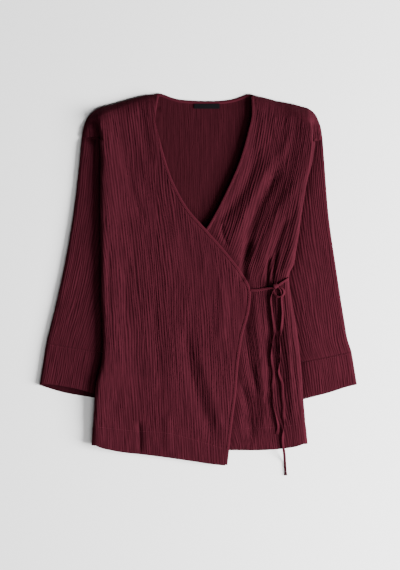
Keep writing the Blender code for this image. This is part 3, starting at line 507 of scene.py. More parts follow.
# Noise on the cloth: waves to the millimetre across the grain and along it, and its detail
CREASES = (0.52, 0.045, 2.0)
WEAVE = (1.9, 1.3, 1.0)
TONE = (0.05, 0.012, 2.0)


def set_inputs(node, values):
    """The node's own sockets at these values."""
    for name, value in values.items():
        node.inputs[name].default_value = value


def cloth_group():
    """Colour and height of the crinkled cloth from its grain mark: place across, along, and crest.

    The colour goes from Deep to Crest with 0.55 of the crest's height, 0.45 of the small creases,
    0.25 of the broad tone and 0.12 of the weave. As it follows the crinkle's height, it is painted
    shade in the valleys and painted light on the crests, besides some fading of the crests. The broad
    tone is the cloth's own uneven colour. The height is 0.8 of the creases and 0.16 of the weave.
    """
    group = bpy.data.node_groups.new("crinkled_cloth", "ShaderNodeTree")
    for name, kind in (("Deep", "NodeSocketColor"), ("Crest", "NodeSocketColor")):
        group.interface.new_socket(name, in_out="INPUT", socket_type=kind)
    for name, kind in (("Color", "NodeSocketColor"), ("Height", "NodeSocketFloat")):
        group.interface.new_socket(name, in_out="OUTPUT", socket_type=kind)
    nodes, link = group.nodes, group.links.new
    given, out = nodes.new("NodeGroupInput"), nodes.new("NodeGroupOutput")
    mark = nodes.new("ShaderNodeAttribute")
    mark.attribute_name = "grain"
    split = nodes.new("ShaderNodeSeparateXYZ")
    link(mark.outputs["Vector"], split.inputs[0])

    def math_node(kind, first, second):
        """The socket of a sum or a product of two sockets or numbers."""
        made = nodes.new("ShaderNodeMath")
        made.operation = kind
        for socket, value in zip(made.inputs, (first, second)):
            if isinstance(value, float):
                socket.default_value = value
            else:
                link(value, socket)
        return made.outputs[0]

    def texture(across, along, detail):
        """The socket of a noise read at (place across * across, place along * along)."""
        place = nodes.new("ShaderNodeCombineXYZ")
        link(math_node("MULTIPLY", split.outputs[0], across), place.inputs[0])
        link(math_node("MULTIPLY", split.outputs[1], along), place.inputs[1])
        made = nodes.new("ShaderNodeTexNoise")
        set_inputs(made, {"Scale": 1.0, "Detail": detail, "Distortion": 0.4})
        link(place.outputs[0], made.inputs["Vector"])
        return made.outputs["Fac"]

    creases, weave, tone = texture(*CREASES), texture(*WEAVE), texture(*TONE)
    # The colour rises with the crest's height: painted light on the crests and painted shade in the
    # valleys
    crest = math_node("MULTIPLY", split.outputs[2], 0.55)
    for part, share in ((creases, 0.45), (tone, 0.25), (weave, 0.12)):
        crest = math_node("ADD", crest, math_node("MULTIPLY", part, share))
    share = nodes.new("ShaderNodeMapRange")
    set_inputs(share, {"From Min": 0.32, "From Max": 0.98})
    link(crest, share.inputs["Value"])
    mix = nodes.new("ShaderNodeMix")
    mix.data_type = "RGBA"
    link(share.outputs["Result"], mix.inputs["Factor"])
    link(given.outputs["Deep"], mix.inputs["A"])
    link(given.outputs["Crest"], mix.inputs["B"])
    link(mix.outputs["Result"], out.inputs["Color"])
    height = math_node("ADD", math_node("MULTIPLY", creases, 0.8), math_node("MULTIPLY", weave, 0.16))
    link(height, out.inputs["Height"])
    return group


CLOTH = cloth_group()


def new_material(name, values):
    """A material with its shader's own sockets at these values, and the shader."""
    made = bpy.data.materials.new(name)
    made.use_nodes = True
    shader = made.node_tree.nodes["Principled BSDF"]
    set_inputs(shader, values)
    return made, shader


def cotton(name, deep, crest, bump=0.8):
    """Matt cloth: the crinkle's colour, with painted light on its crests and painted shade in its
    valleys, its height, and a soft sheen.
    """
    matt = {"Roughness": 0.9, "Specular IOR Level": 0.02}
    sheen = {"Sheen Weight": 0.05, "Sheen Tint": (0.5, 0.06, 0.12, 1.0)}
    made, shader = new_material(name, matt | sheen)
    nodes, link = made.node_tree.nodes, made.node_tree.links.new
    cloth = nodes.new("ShaderNodeGroup")
    cloth.node_tree = CLOTH
    set_inputs(cloth, {"Deep": (*deep, 1.0), "Crest": (*crest, 1.0)})
    relief = nodes.new("ShaderNodeBump")
    set_inputs(relief, {"Strength": bump, "Distance": 0.6 * MM})
    link(cloth.outputs["Color"], shader.inputs["Base Color"])
    link(cloth.outputs["Height"], relief.inputs["Height"])
    link(relief.outputs["Normal"], shader.inputs["Normal"])
    return made


def plain(name, colour, rough):
    """One matt colour all over."""
    values = {"Base Color": (*colour, 1.0), "Roughness": rough, "Specular IOR Level": 0.04}
    return new_material(name, values)[0]


# Deep is the colour in the crinkle's valleys and Crest the colour on its crests: painted shade and
# painted light
COTTON = cotton("crinkled_cotton", (0.0130, 0.0018, 0.0035), (0.0425, 0.0066, 0.0117))
# A darker copy of the cloth for the back panel, which lies in the hollow under the fronts: painted shade
SHADED_INSIDE = cotton("crinkled_cotton_shaded_inside", (0.013, 0.0019, 0.0034), (0.030, 0.0046, 0.0080), bump=0.6)
BIAS = cotton("bias_strip", (0.026, 0.0038, 0.0070), (0.047, 0.0071, 0.0126), bump=0.35)
THREAD = plain("thread", (0.062, 0.0098, 0.0172), 0.7)
LABEL = plain("label_weave", (0.0035, 0.003, 0.0038), 0.7)

# Fronts ----------------------------------------------------------------------------------------

CAP_END = 0.0695  # share of the way down where the dropped shoulder ends
CAP_RISEN = 0.008  # and where its end has come up to CAP_EDGE
CAP_BEND = 0.04  # and down to where its rows are bent towards the shoulder seam
CAP_EDGE = 5.2  # its underside's height at its end
CAP_HEIGHT = 8.6  # and beside the body
CREASE_SHARE = 0.17  # of its width, the crease beside the body
CREASE_START = 0.03  # share of the way down where the crease is all there
ROLL_START = 0.08  # the first row below the dropped shoulder
ROWS = np.concatenate([np.linspace(0, CAP_END, 14), np.linspace(ROLL_START, 1, 148)])
CAP_STEPS = ((0, CAP_RISEN, 0.026, CAP_END), (0, 1 / 3, 2 / 3, 1))  # rows, and shares of the cap's end
NECK_BULGE = 42.0  # how far into the panel the columns follow the curve of the neck edge
SHOULDER_SHARE = 0.40  # of a front's width, the part that starts on the shoulder seam
STEEP_COLUMNS = 22
SHOWN_SHARE = 0.62  # of the left front's width, the part that the right one leaves open
FRONT_SHIFTS = {"right": 0.0, "left": 5.0}  # each front's own part of the crinkle's noise
COVER_FADE, COVER_TOP_Y = 12.0, 110.0  # the left one's crinkle fades out under the right front
HEM_BAND = 0.6  # how far the doubled cloth of a hem stands out
TURNS = np.radians(np.linspace(90, 270, 19)[1:])  # round the roll, from its top to its foot
TAIL = np.linspace(0, 3, 8)[1:]  # places past the roll's foot: 0 there, 3 at the seam
TAIL_GRAIN = 4.0  # of the pattern to one such place
FOOT = 9.5  # height of a roll's foot, which the tails' heights are given for

# At the places 1, 2 and 3 along the armhole, and then along the side seam: how far in the cloth is,
# and how high for a foot at FOOT. Then for the side seam alone: how much of the real foot's height
# the place takes, which is all of it along the armhole, and how its lining leans inward
TAIL_IN = np.array(((8.2, 8.6, ARMHOLE_IN), (10.6, 13.2, SIDE_SEAM_IN)))
TAIL_HEIGHT = np.array(((9.7, 9.6, 9.5), (9.6, 7.6, SEAM)))
TAIL_FOLLOWS = np.array((0.9, 0.6, 0.0))
TAIL_LEAN = np.array((0.15, 0.75, 1.0))


def side_levels(side, t):
    """The y of each row at the garment's side, shared by the back and the front."""
    top, low = SIDES[side][0][1], SIDES[side][-1][1]
    return top + (low - top) * t


def side_seam_share(y):
    """0 along the armhole and 1 along the side seam, eased between."""
    return ease((ARMHOLE_END_Y - y) / (ARMHOLE_END_Y - SEAM_START_Y))


def panel_edges(side):
    """A front's cloth edge, inside its binding: neck part and lower part."""
    whole = moved_in(FRONT_EDGES[side], BINDING_WIDTH - EDGE_HELD, -INWARD[side])
    corner = len(NECK_EDGES[side])
    return whole[:corner], whole[corner - 1 :]


def across_front(side, count, covered):
    """Each column's place across the front, with more where the neck edge is steep.

    covered is the share of the columns for the part that lies hidden under the other front.
    """
    q = np.linspace(0.0, 1.0, count)
    if covered:
        bend = 1 - covered
        hidden = SHOWN_SHARE + (q - bend) * (1 - SHOWN_SHARE) / covered
        q = np.where(q < bend, q * SHOWN_SHARE / bend, hidden)
    neck = panel_edges(side)[0]
    chord = (1 - SHOULDER_SHARE) * (neck[2, 0] - neck[0, 0]) / (neck[-1, 0] - neck[0, 0])
    steep = SHOULDER_SHARE + chord * np.linspace(0, 1, STEEP_COLUMNS)
    return np.sort(np.concatenate([q[(q < steep[0] - 0.001) | (q > steep[-1] + 0.001)], steep]))


def front_plan(side, q, t):
    """The front from above: columns run from the shoulder seam or the neck edge to the hem.

    x = top (1 - t) + hem t, plus the bends of the side and of the front edge, each faded across.
    Where the neck edge is steep, the columns start on a straight line, and its bulge is added.
    """
    neck, lower = panel_edges(side)
    rolled = np.asarray(SIDES[side], float) + [INWARD[side] * ROLL, 0.0]
    shoulder = np.asarray(SHOULDERS[side], float)
    shoulder = shoulder[np.argsort(shoulder[:, 0])]
    side_x = x_at_y(rolled, side_levels(side, t))
    share = SHOULDER_SHARE
    top_x = np.where(
        q < share,
        side_x[0] + (neck[0, 0] - side_x[0]) * q / share,
        neck[0, 0] + (neck[-1, 0] - neck[0, 0]) * (q - share) / (1 - share),
    )
    straight = np.concatenate([neck[:1], neck[2:]])
    line = curve_at(neck, FINE)
    line = line[line[:, 1] < straight[1, 1]]
    line = line[np.argsort(line[:, 0])]
    chord = (top_x - straight[0, 0]) / (straight[1, 0] - straight[0, 0])
    edge_y = np.where(
        chord < 1,
        straight[0, 1] + (straight[1, 1] - straight[0, 1]) * chord,
        np.interp(top_x, line[:, 0], line[:, 1]),
    )
    seam_y = np.interp(top_x, shoulder[:, 0], shoulder[:, 1])
    top = np.stack([top_x, np.where(q < share, seam_y, edge_y)], axis=1)
    hem_x = side_x[-1] + (lower[-1, 0] - side_x[-1]) * q
    bottom = np.stack([hem_x, y_at_x(HEMS[side], hem_x)], axis=1)
    lower_x = x_at_y(lower, lower[0, 1] + (bottom[-1, 1] - lower[0, 1]) * t)
    side_bend = side_x - (side_x[0] + (side_x[-1] - side_x[0]) * t)
    lower_bend = lower_x - (lower_x[0] + (lower_x[-1] - lower_x[0]) * t)
    tt, qq = t[:, None], q[None, :]
    x = top[:, 0] * (1 - tt) + bottom[:, 0] * tt
    x = x + (1 - qq) * side_bend[:, None] + qq * lower_bend[:, None]
    y = top[:, 1] * (1 - tt) + bottom[:, 1] * tt
    y = y + (1 - qq) ** 4 * (side_levels(side, t) - y[:, 0])[:, None] * (tt > 0)
    bulge = np.interp(y, [straight[1, 1], straight[0, 1]], [straight[1, 0], straight[0, 0]])
    bulge = np.where(y > straight[1, 1], x_at_y(neck, y) - bulge, 0.0)
    x = x + bulge * bell((x - x_at_y(neck, y)) / NECK_BULGE)
    return np.stack([x, y], axis=-1)


def cap_plan(start, end, share, t):
    """The dropped shoulder from above: rows from the panel's side to its end.

    The top rows are bent to the shoulder seam, less and less down to CAP_BEND.
    """
    flat = start[:, None] + (end - start)[:, None] * share[:, None]
    flat[..., 1] += (shoulder_y(flat[0, :, 0]) - flat[0, :, 1]) * (1 - ease(t / CAP_BEND))[:, None]
    return flat


def cap_lining(side, start, under, share, t):
    """The dropped shoulder's underside: eased down from the panel over the crease to a shelf.

    The shelf is CAP_HEIGHT high beside the body and comes down to the end's height in its last
    quarter. The top rows have no crease and no shelf, and are eased all the way down to the seam.
    """
    flat = cap_plan(start, curve_at(CAPS[side], np.interp(t, *CAP_STEPS)), share, t)
    end = np.minimum(np.interp(t, (0, CAP_RISEN), (WALL + SEAM, CAP_EDGE)), under)
    settled = ease(t / CREASE_START)[:, None]
    shelf = np.maximum(CAP_HEIGHT - end, 0.0)[:, None] * (1 - ease((share - 0.76) / 0.24)) * settled
    start_z = under[:, None]
    shelf = np.minimum(end[:, None] + shelf, start_z)
    drop = start_z + (shelf - start_z) * ease(share / (1 - (1 - CREASE_SHARE) * settled))
    return np.concatenate([flat, drop[..., None]], axis=-1)


def roll_and_tail(side, under, y):
    """The outer and the inner face past the panel's side: the roll's arc, and its tail to the seam.

    The arc has the radius ROLL outside and ROLL - WALL inside. The tail runs through its three
    places, and its inner face is WALL away in the direction (lean, sqrt(1 - lean^2)).
    """
    roll_z = under + WALL - ROLL
    low = roll_z - ROLL
    down = side_seam_share(y)[:, None]
    tail_in = TAIL_IN[0] * (1 - down) + TAIL_IN[1] * down
    tail_z = TAIL_HEIGHT[0] * (1 - down) + TAIL_HEIGHT[1] * down
    tail_z = tail_z + (low - FOOT)[:, None] * (TAIL_FOLLOWS * down + 1 - down)
    lean = TAIL_LEAN * down
    one = np.ones(len(y))
    places = np.stack(
        [np.column_stack([ROLL * one, tail_in]), np.column_stack([low, tail_z]),
         np.column_stack([0 * one, lean]), np.column_stack([one, np.sqrt(1 - lean**2)])], axis=-1,
    )
    first = np.minimum(TAIL.astype(int), 2)
    past = (TAIL - first)[:, None]
    tail = places[:, first] * (1 - past) + places[:, first + 1] * past
    outer_x = x_at_y(SIDES[side], y)[:, None]
    faces = []
    for radius, wall in ((ROLL, 0.0), (ROLL - WALL, WALL)):
        arc_in = one[:, None] * (ROLL + radius * np.cos(TURNS))
        arc_z = roll_z[:, None] + radius * np.sin(TURNS)
        inward = np.column_stack([arc_in, tail[..., 0] + wall * tail[..., 2]])
        height = np.column_stack([arc_z, tail[..., 1] + wall * tail[..., 3]])
        level = np.broadcast_to(y[:, None], inward.shape)
        faces.append(np.stack([outer_x + INWARD[side] * inward, level, height], axis=-1))
    return faces


def front(side, count, covered):
    """A front: the panel, and along its side the dropped shoulder, then the roll with its tail.

    The crinkle moves the face along its normals, by FRONT_CRINKLE at a whole crest, and the lining
    by LINING_SHARE of that.
    """
    t = ROWS
    q = across_front(side, count, covered)
    plan = front_plan(side, q, t)
    x, y = plan[..., 0], plan[..., 1]
    under = front_under(x, y) + lift(x, y, side)
    side_face, side_lining = roll_and_tail(side, under[:, 0], y[:, 0])
    extra = side_face.shape[1]
    share = (np.arange(extra) + 1) / extra
    caps = t <= CAP_END
    side_lining[caps] = cap_lining(side, plan[caps, 0], under[caps, 0], share, t[caps])
    side_face[caps] = side_lining[caps] + [0, 0, WALL]
    face = np.concatenate([side_face[:, ::-1], np.stack([x, y, under + WALL], axis=-1)], axis=1)
    lining = np.concatenate([side_lining[:, ::-1], np.stack([x, y, under], axis=-1)], axis=1)

    # The grain's place is carried round the roll by its arc
    arc = np.concatenate([ROLL * (TURNS - math.pi / 2), ROLL * math.pi / 2 + TAIL * TAIL_GRAIN])
    u = grain(face[..., 0], face[..., 1], side)
    rolled = grain(x[:, :1], y[:, :1], side) - INWARD[side] * arc
    u[~caps, :extra] = rolled[~caps][:, ::-1]
    crest = crinkle(u, face[..., 1], FRONT_SHIFTS[side])

    # The crinkle is weaker at the seams and the edge, and gone on the tail and where it is covered
    strength = np.ones_like(crest)
    strength[:, extra:] *= 0.25 + 0.75 * ease((1 - q) / 0.03)
    strength *= (0.2 + 0.8 * ease(t / 0.03))[:, None]
    strength[~caps, : len(TAIL)] = 0.0
    strength[caps, :extra] *= 1 - 0.7 * ease(share[::-1] * 4 - 3)
    past_line = y_at_x(HEM_LINES[side], face[..., 0]) - face[..., 1]
    strength *= (1 - 0.3 * ease(past_line / 4)) * (1 - 0.5 * bell(past_line / 3))
    if side == "left":
        under_edge = x_at_y(FRONT_EDGES["right"], face[..., 1]) + COVER_FADE - face[..., 0]
        strength *= 1 - ease(under_edge / COVER_FADE) * (face[..., 1] < COVER_TOP_Y)
    hem_band = HEM_BAND * ease(past_line / 4 + 0.5)
    out = normals(face) * (-INWARD[side])
    out *= np.where(out[:, -1:, 2:] < 0, -1, 1)
    moved = out * (crest * strength * FRONT_CRINKLE - CRINKLE_SUNK + hem_band)[..., None]
    # The crest goes with the marks, so the colour has painted light on the crests and painted shade in
    # the valleys
    marks = np.stack([u, face[..., 1], crest], axis=-1)
    return shell(f"front_{side}_cloth", face + moved, lining + moved * LINING_SHARE, marks, COTTON)


FRONT_RIGHT = front("right", 236, 0.0)
FRONT_LEFT = front("left", 216, 0.2)

# Back ------------------------------------------------------------------------------------------

BACK_ROWS = np.concatenate(
    [np.linspace(0, CAP_END, 16), np.linspace(ROLL_START, 0.46, 86), np.linspace(0.48, 1, 16)]
)
BACK_SHOWN = (-78.0, 96.0)  # between these the open neck shows it
BACK_SHARES = (0.29, 0.74)  # where these are across the panel's columns
BACK_CRINKLED = (-84.0, 100.0, 40.0)  # it is crinkled between two x, and over this y
BACK_CAP_COLUMNS = 8
BACK_CLEAR = 0.8  # how far it stays from the sleeve, past SEAM
SEAM_CLEARS_LESS = 0.6  # and how much less from the wall of the side seam
BACK_SHIFT = 9.0


def back_columns():
    """Each column's place across the back, close together where the open neck shows it."""
    low, high = BACK_SHARES
    hidden = np.linspace(0, low, 12, endpoint=False)
    return np.concatenate([hidden, np.linspace(low, high, 165), np.linspace(high, 1, 13)[1:]])


def back_side(side, t):
    """The side edge of the back: inside the sleeve's lower layer, then inside the side seam."""
    y = side_levels(side, t)
    change = SIDE_SEAM_IN + WALL - SLEEVE_IN - SEAM_CLEARS_LESS
    inset = SLEEVE_IN + SEAM + BACK_CLEAR + change * side_seam_share(y)
    return x_at_y(SIDES[side], y) + INWARD[side] * inset, y


def back_plan(q, t):
    """The back from above: x = top (1 - t) + hem t, plus each side's bend, faded across."""
    neck = curve_at(moved_in(BACK_NECK, BINDING_WIDTH * 0.6, -1), FINE)
    minus_x, minus_y = back_side("right", t)
    plus_x, plus_y = back_side("left", t)
    top_x = np.interp(q, [0, *BACK_SHARES, 1.0], [minus_x[0], *BACK_SHOWN, plus_x[0]])
    shown = (top_x > BACK_SHOWN[0]) & (top_x < BACK_SHOWN[1])
    top_y = np.where(shown, np.interp(top_x, neck[:, 0], neck[:, 1]), shoulder_y(top_x))
    hem_x = minus_x[-1] + (plus_x[-1] - minus_x[-1]) * q
    hem_y = y_at_x(BACK_HEM, hem_x)
    tt, qq = t[:, None], q[None, :]
    x = top_x * (1 - tt) + hem_x * tt
    x = x + (1 - qq) * (minus_x - (minus_x[0] * (1 - t) + minus_x[-1] * t))[:, None]
    x = x + qq * (plus_x - (plus_x[0] * (1 - t) + plus_x[-1] * t))[:, None]
    y = top_y * (1 - tt) + hem_y * tt
    y = y + (1 - qq) ** 4 * (minus_y - y[:, 0])[:, None] * (t > 0)[:, None]
    y = y + qq**4 * (plus_y - y[:, -1])[:, None] * (t > 0)[:, None]
    return np.stack([x, y], axis=-1)


def back():
    """The back panel, flat on the surface, with its crinkle where the open neck shows it."""
    t = BACK_ROWS
    plan = back_plan(back_columns(), t)
    share = (np.arange(BACK_CAP_COLUMNS) + 1) / BACK_CAP_COLUMNS
    right_cap, left_cap = (
        cap_plan(plan[:, column], curve_at(CAPS[side], np.interp(t, *CAP_STEPS)), share, t)
        for side, column in (("right", 0), ("left", -1))
    )
    plan = np.concatenate([right_cap[:, ::-1], plan, left_cap], axis=1)
    x, y = plan[..., 0], plan[..., 1]
    u = (x + 0.03 * y) * BACK_GRAIN
    crest = crinkle(u, y, BACK_SHIFT)
    start_x, end_x, low_y = BACK_CRINKLED
    shows = ease((x - start_x) / 8) * ease((end_x - x) / 8) * ease((y - low_y) / 20)
    raised = crest * shows * (0.2 + 0.8 * ease(t / 0.02))[:, None] * BACK_CRINKLE
    face = np.stack([x, y, WALL + raised], axis=-1)
    lining = np.stack([x, y, np.zeros_like(x)], axis=-1)
    cells = np.ones((len(t) - 1, x.shape[1] - 1), bool)
    first = np.searchsorted(t, CAP_END + 1e-6) - 1
    cells[first:, :BACK_CAP_COLUMNS] = False
    cells[first:, -BACK_CAP_COLUMNS:] = False
    # The back takes the darker copy of the cloth, painted shade for the hollow under the fronts
    return shell("back_cloth", face, lining, np.stack([u, y, crest], axis=-1), SHADED_INSIDE, cells)


BACK = back()

# Sleeves and cuffs -----------------------------------------------------------------------------

SLEEVE_ROWS = np.concatenate([np.linspace(0, 0.06, 8), np.linspace(0.07, 1.0, 92)])
CUFF_ROWS = np.linspace(0, 1, 24)
UPPER_COUNT = 128  # columns of a tube's upper layer
LOW_PLACES = np.linspace(1, 0, 22)[1:-1]
TUBE_PLACES = np.concatenate([np.linspace(0, 1, UPPER_COUNT), LOW_PLACES])  # from 0 at the outer fold
UPPER_SIDE = np.arange(len(TUBE_PLACES)) < UPPER_COUNT
UPPER_COLUMN = 60  # one well inside the upper layer
SEAM_SHARE = 0.4  # of a sleeve's mouth, the part that lies under the dropped shoulder's end
MOUTH_ABOVE = 1.2  # how far above the lowest point of the cap the mouth starts
FOLD_SHARE = 0.07  # of the width, the part over which a sleeve's fold rounds off
FOLD_HEIGHT = 0.45  # of the sleeve's height, where its outer fold is
TUBE_GRAIN_START = 300.0  # the pattern's place at a tube's outer fold
SLEEVE_SHIFTS, CUFF_SHIFTS = {"right": 13.0, "left": 17.0}, {"right": 21.0, "left": 24.0}


def sleeve_top(x, y, side):
    """Height of the sleeve's upper face: SLEEVE_HEIGHT - SLEEVE_DIP exp(-gap to the body / length)."""
    gap = (x_at_y(SIDES[side], y) - x) * INWARD[side]
    return SLEEVE_HEIGHT - SLEEVE_DIP * np.exp(-np.maximum(gap, 0.0) / DIP_LENGTH)


def armhole(side, inset):
    """The sleeve's mouth from above, at the tube's places: outer fold at 0 and underarm at 1.

    It runs straight in along the dropped shoulder's end, and then down beside the body's side.
    """
    a = TUBE_PLACES
    cap_x, cap_y = CAPS[side][-1]
    inner_x = x_at_y(SIDES[side], ARMHOLE_START_Y) + INWARD[side] * inset
    across = np.clip(a / SEAM_SHARE, 0, 1)
    down = np.clip((a - SEAM_SHARE) / (1 - SEAM_SHARE), 0, 1)
    start_y = ARMHOLE_START_Y - 0.6
    y_across = cap_y + MOUTH_ABOVE + (start_y - cap_y - MOUTH_ABOVE) * across
    y = np.where(a < SEAM_SHARE, y_across, start_y + (UNDERARM_Y - start_y) * down)
    late = ease((down - 0.86) / 0.14) * (SLEEVE_IN - inset)  # both layers meet at the underarm
    x_down = x_at_y(SIDES[side], y) + INWARD[side] * (inset + late)
    return np.stack([np.where(a < SEAM_SHARE, cap_x + (inner_x - cap_x) * across, x_down), y], axis=-1)


def tube(name, side, upper_ends, lower_ends, rows, thick, bends, shift):
    """A flattened tube: where its upper and its lower layer start and end is given from above.

    a is the place across it and r the share of the way down. Each layer's plan is start (1 - r) +
    end r, and the one passes into the other round the folds, by f = sqrt(1 - (1 - a / FOLD_SHARE)^2)
    beside the outer fold and the same beside the inner one. With h = FOLD_HEIGHT, the upper layer is
    top (h + (1 - h) f) high and the lower one top h (1 - f).
    """
    a = TUBE_PLACES
    edge = np.sqrt(1 - (1 - np.clip(np.minimum(a, 1 - a) / FOLD_SHARE, 0, 1)) ** 2)
    rr = rows[:, None, None]
    upper, lower = (start * (1 - rr) + end * rr for start, end in (upper_ends, lower_ends))
    kind = np.where(UPPER_SIDE, 0.5 + 0.5 * edge, 0.5 - 0.5 * edge)
    plan = lower + (upper - lower) * kind[None, :, None]

    # The outer fold bends in, and the inner one is drawn under the body where it would show
    bend = curve_at(np.asarray(bends) * [100.0, 1.0], FINE)
    plan[..., 0] += INWARD[side] * np.interp(rows * 100, bend[:, 0], bend[:, 1])[:, None] * (1 - a)
    inner = plan[:, UPPER_COUNT - 1]
    limit = x_at_y(SIDES[side], inner[:, 1]) + INWARD[side] * SLEEVE_UNDER
    short = np.maximum(INWARD[side] * (limit - inner[:, 0]), 0.0)
    plan[..., 0] += INWARD[side] * short[:, None] * a**3
    x, y = plan[..., 0], plan[..., 1]

    # Under the dropped shoulder's end a sleeve is pressed flatter
    pressed = 0.42 * bell(rows / 0.02)[:, None] * (1 - ease(a / 0.4)) if thick == WALL else 0.0
    top = sleeve_top(x, y, side) * (1 - pressed)
    upper_z, lower_z = top * (FOLD_HEIGHT + (1 - FOLD_HEIGHT) * edge), top * FOLD_HEIGHT * (1 - edge)
    face = np.stack([x, y, np.where(UPPER_SIDE, upper_z, lower_z)], axis=-1)
    out = normals(face, ring=True)
    out *= np.sign(out[:, UPPER_COLUMN : UPPER_COLUMN + 1, 2:])
    out[..., 2] = np.abs(out[..., 2]) * np.where(UPPER_SIDE, 1, -1)

    u = SLEEVE_GRAIN * (x - x[:, :1]) + TUBE_GRAIN_START
    crest = crinkle(u, y, shift)
    strength = np.where(UPPER_SIDE, edge * ease((1 - a) / 0.14), 0.0)
    strength = strength * (0.25 + 0.75 * ease(rows / 0.03) * ease((1 - rows) / 0.02))[:, None]
    moved = out * (crest * strength * SLEEVE_CRINKLE)[..., None]
    # The lower layer's colour is read at no crest, so it is Deep all over: painted shade inside the
    # mouths of the sleeves and cuffs
    marks = np.stack([u, y, crest * UPPER_SIDE], axis=-1)
    lining = face - out * thick + moved * LINING_SHARE
    return shell(name, face + moved, lining, marks, COTTON, ring=True)


def sleeve(side):
    """A sleeve from its armhole to the cuff's seam. Its lower layer lies further under the body."""
    seam = curve_at(CUFF_SEAMS[side], TUBE_PLACES)
    upper, lower = (armhole(side, ARMHOLE_IN), seam), (armhole(side, SLEEVE_IN), seam)
    bends, shift = SLEEVE_BENDS[side], SLEEVE_SHIFTS[side]
    return tube(f"sleeve_{side}_cloth", side, upper, lower, SLEEVE_ROWS, WALL, bends, shift)


def cuff(side):
    """The band round the sleeve's end. Its upper layer stops short by rise sin(pi a)^0.6."""
    seam = curve_at(np.asarray(CUFF_SEAMS[side], float) - [0.0, SEAM], TUBE_PLACES)
    end = curve_at(CUFF_ENDS[side], TUBE_PLACES)
    short = CUFF_MOUTH_RISE[side] * np.sin(math.pi * TUBE_PLACES) ** 0.6
    upper, lower = (seam, end + np.column_stack([0 * short, short])), (seam, end)
    straight = ((0.0, 0.0), (1.0, 0.0))
    name, shift = f"cuff_{side}_cloth", CUFF_SHIFTS[side]
    return tube(name, side, upper, lower, CUFF_ROWS, BAND_WALL, straight, shift)


SLEEVES = {side: sleeve(side) for side in ("right", "left")}
CUFFS = {side: cuff(side) for side in ("right", "left")}

# Bindings --------------------------------------------------------------------------------------


def binding_front(side):
    """The bias strip along a front's edge, beside the cloth's edge and as high, a little uneven."""
    whole = moved_in(FRONT_EDGES[side], BINDING_WIDTH / 2, -INWARD[side])
    plan = curve_at(whole, np.linspace(0.006, BINDING_ENDS[side], 260))
    cloth = moved_in(plan, BINDING_WIDTH / 2 + SEAM, -INWARD[side])
    height = front_top(cloth[:, 0], cloth[:, 1], side) - WALL / 2
    height += BINDING_RAISE if side == "right" else 0.0
    place = np.arange(len(plan)) * 2.5
    height += BINDING_WAVER * (noise(place / 9, place * 0, 5) - 0.5)
    path = np.column_stack([plan, height])
    across = np.column_stack([cloth - plan, np.zeros(len(plan))])
    return strip(f"binding_front_{side}_strip", path, across, BINDING_WIDTH, BINDING_THICK, BIAS), path


def binding_back_neck():
    """The bias strip along the back neck, flat on the surface, 1 mm higher at the right shoulder."""
    line = curve_at(moved_in(BACK_NECK, BINDING_WIDTH / 2, -1), np.linspace(0.004, 0.996, 90))
    height = BINDING_THICK / 2 + 0.2 + ease((-45.0 - line[:, 0]) / 25.0)
    path = np.column_stack([line, height])
    across = np.column_stack([moved_in(line, 1.0, -1) - line, np.zeros(len(line))])
    return strip("binding_back_neck_strip", path, across, BINDING_WIDTH, BINDING_THICK, BIAS)


BINDINGS, PATH_OF_BINDING = {}, {}
for side in ("right", "left"):
    BINDINGS[side], PATH_OF_BINDING[side] = binding_front(side)
BINDING_NECK = binding_back_neck()

# Ties, knot and label --------------------------------------------------------------------------

TIE_WIDTH, TIE_THICK = 5.2, 1.6
TIE_REST = 0.3  # how far it lies off what is under it
TIE_DROP_START, TIE_DROP_LENGTH = 3.0, 26.0  # past the hem it comes down to the floor from and over
FRONT_TIE_ROUTE = (  # from the right front's corner through the knot to the long free end
    (97.0, -20.4), (106.0, -20.6), (114.0, -19.8), (122.0, -18.4), (130.0, -17.2), (137.0, -16.4),
    (143.0, -15.0), (149.0, -17.0), (153.4, -24.0), (153.4, -36.0), (155.2, -68.6), (153.4, -89.2),
    (149.4, -107.7), (151.2, -126.2), (150.4, -151.0), (148.6, -171.5), (155.2, -196.1),
    (155.2, -216.6), (157.4, -237.2), (157.4, -268.1), (155.8, -299.0), (159.2, -327.5), (161.8, -364.6),
)
SIDE_TIE_ROUTE = (  # from the left side seam through the knot to the short free end
    (166.5, 0.6), (161.0, -2.6), (155.0, -6.4), (149.5, -10.4), (143.5, -14.6), (138.6, -20.0),
    (134.8, -30.0), (136.2, -61.0), (139.6, -93.2), (136.0, -118.0), (134.9, -142.6),
    (138.7, -173.5), (136.9, -202.2), (137.0, -225.0), (142.8, -251.6), (147.8, -276.2), (145.4, -287.0),
)
RING_ROUTE = (  # the small loop that stands out of the knot
    (142.6, -9.0), (139.6, -14.0), (138.6, -20.8), (140.2, -27.2), (144.6, -32.2), (150.4, -33.4),
    (155.8, -30.4), (158.0, -24.4), (156.0, -18.8), (151.4, -15.6), (145.0, -15.0),
)
FRONT_TIE_TURNS = (  # share of the tie's length, and how far it has turned over there, in radians
    (0.0, 0.2), (0.06, 0.3), (0.1, 1.5), (0.14, 1.9), (0.3, 3.0), (0.36, 4.4),
    (0.5, 4.9), (0.56, 6.2), (0.72, 6.5), (0.78, 7.9), (0.9, 9.4), (1.0, 9.6),
)
SIDE_TIE_TURNS = (
    (0.0, -0.3), (0.09, 0.0), (0.13, 1.5), (0.3, 3.0), (0.4, 3.6),
    (0.55, 5.6), (0.7, 6.4), (0.8, 7.8), (1.0, 9.2),
)
FRONT_TIE_RISE, SIDE_TIE_RISE = 0.8, 0.2  # how much higher each one lies
FRONT_TIE_SEED, SIDE_TIE_SEED = 1.0, 3.0  # each one's own row of the noise
TIE_TWIST = 0.9  # radians between its furthest turns to and fro besides
TIE_FLARE, FLARE_LENGTH = 0.25, 9.0  # how much wider the free end is, and over how much length
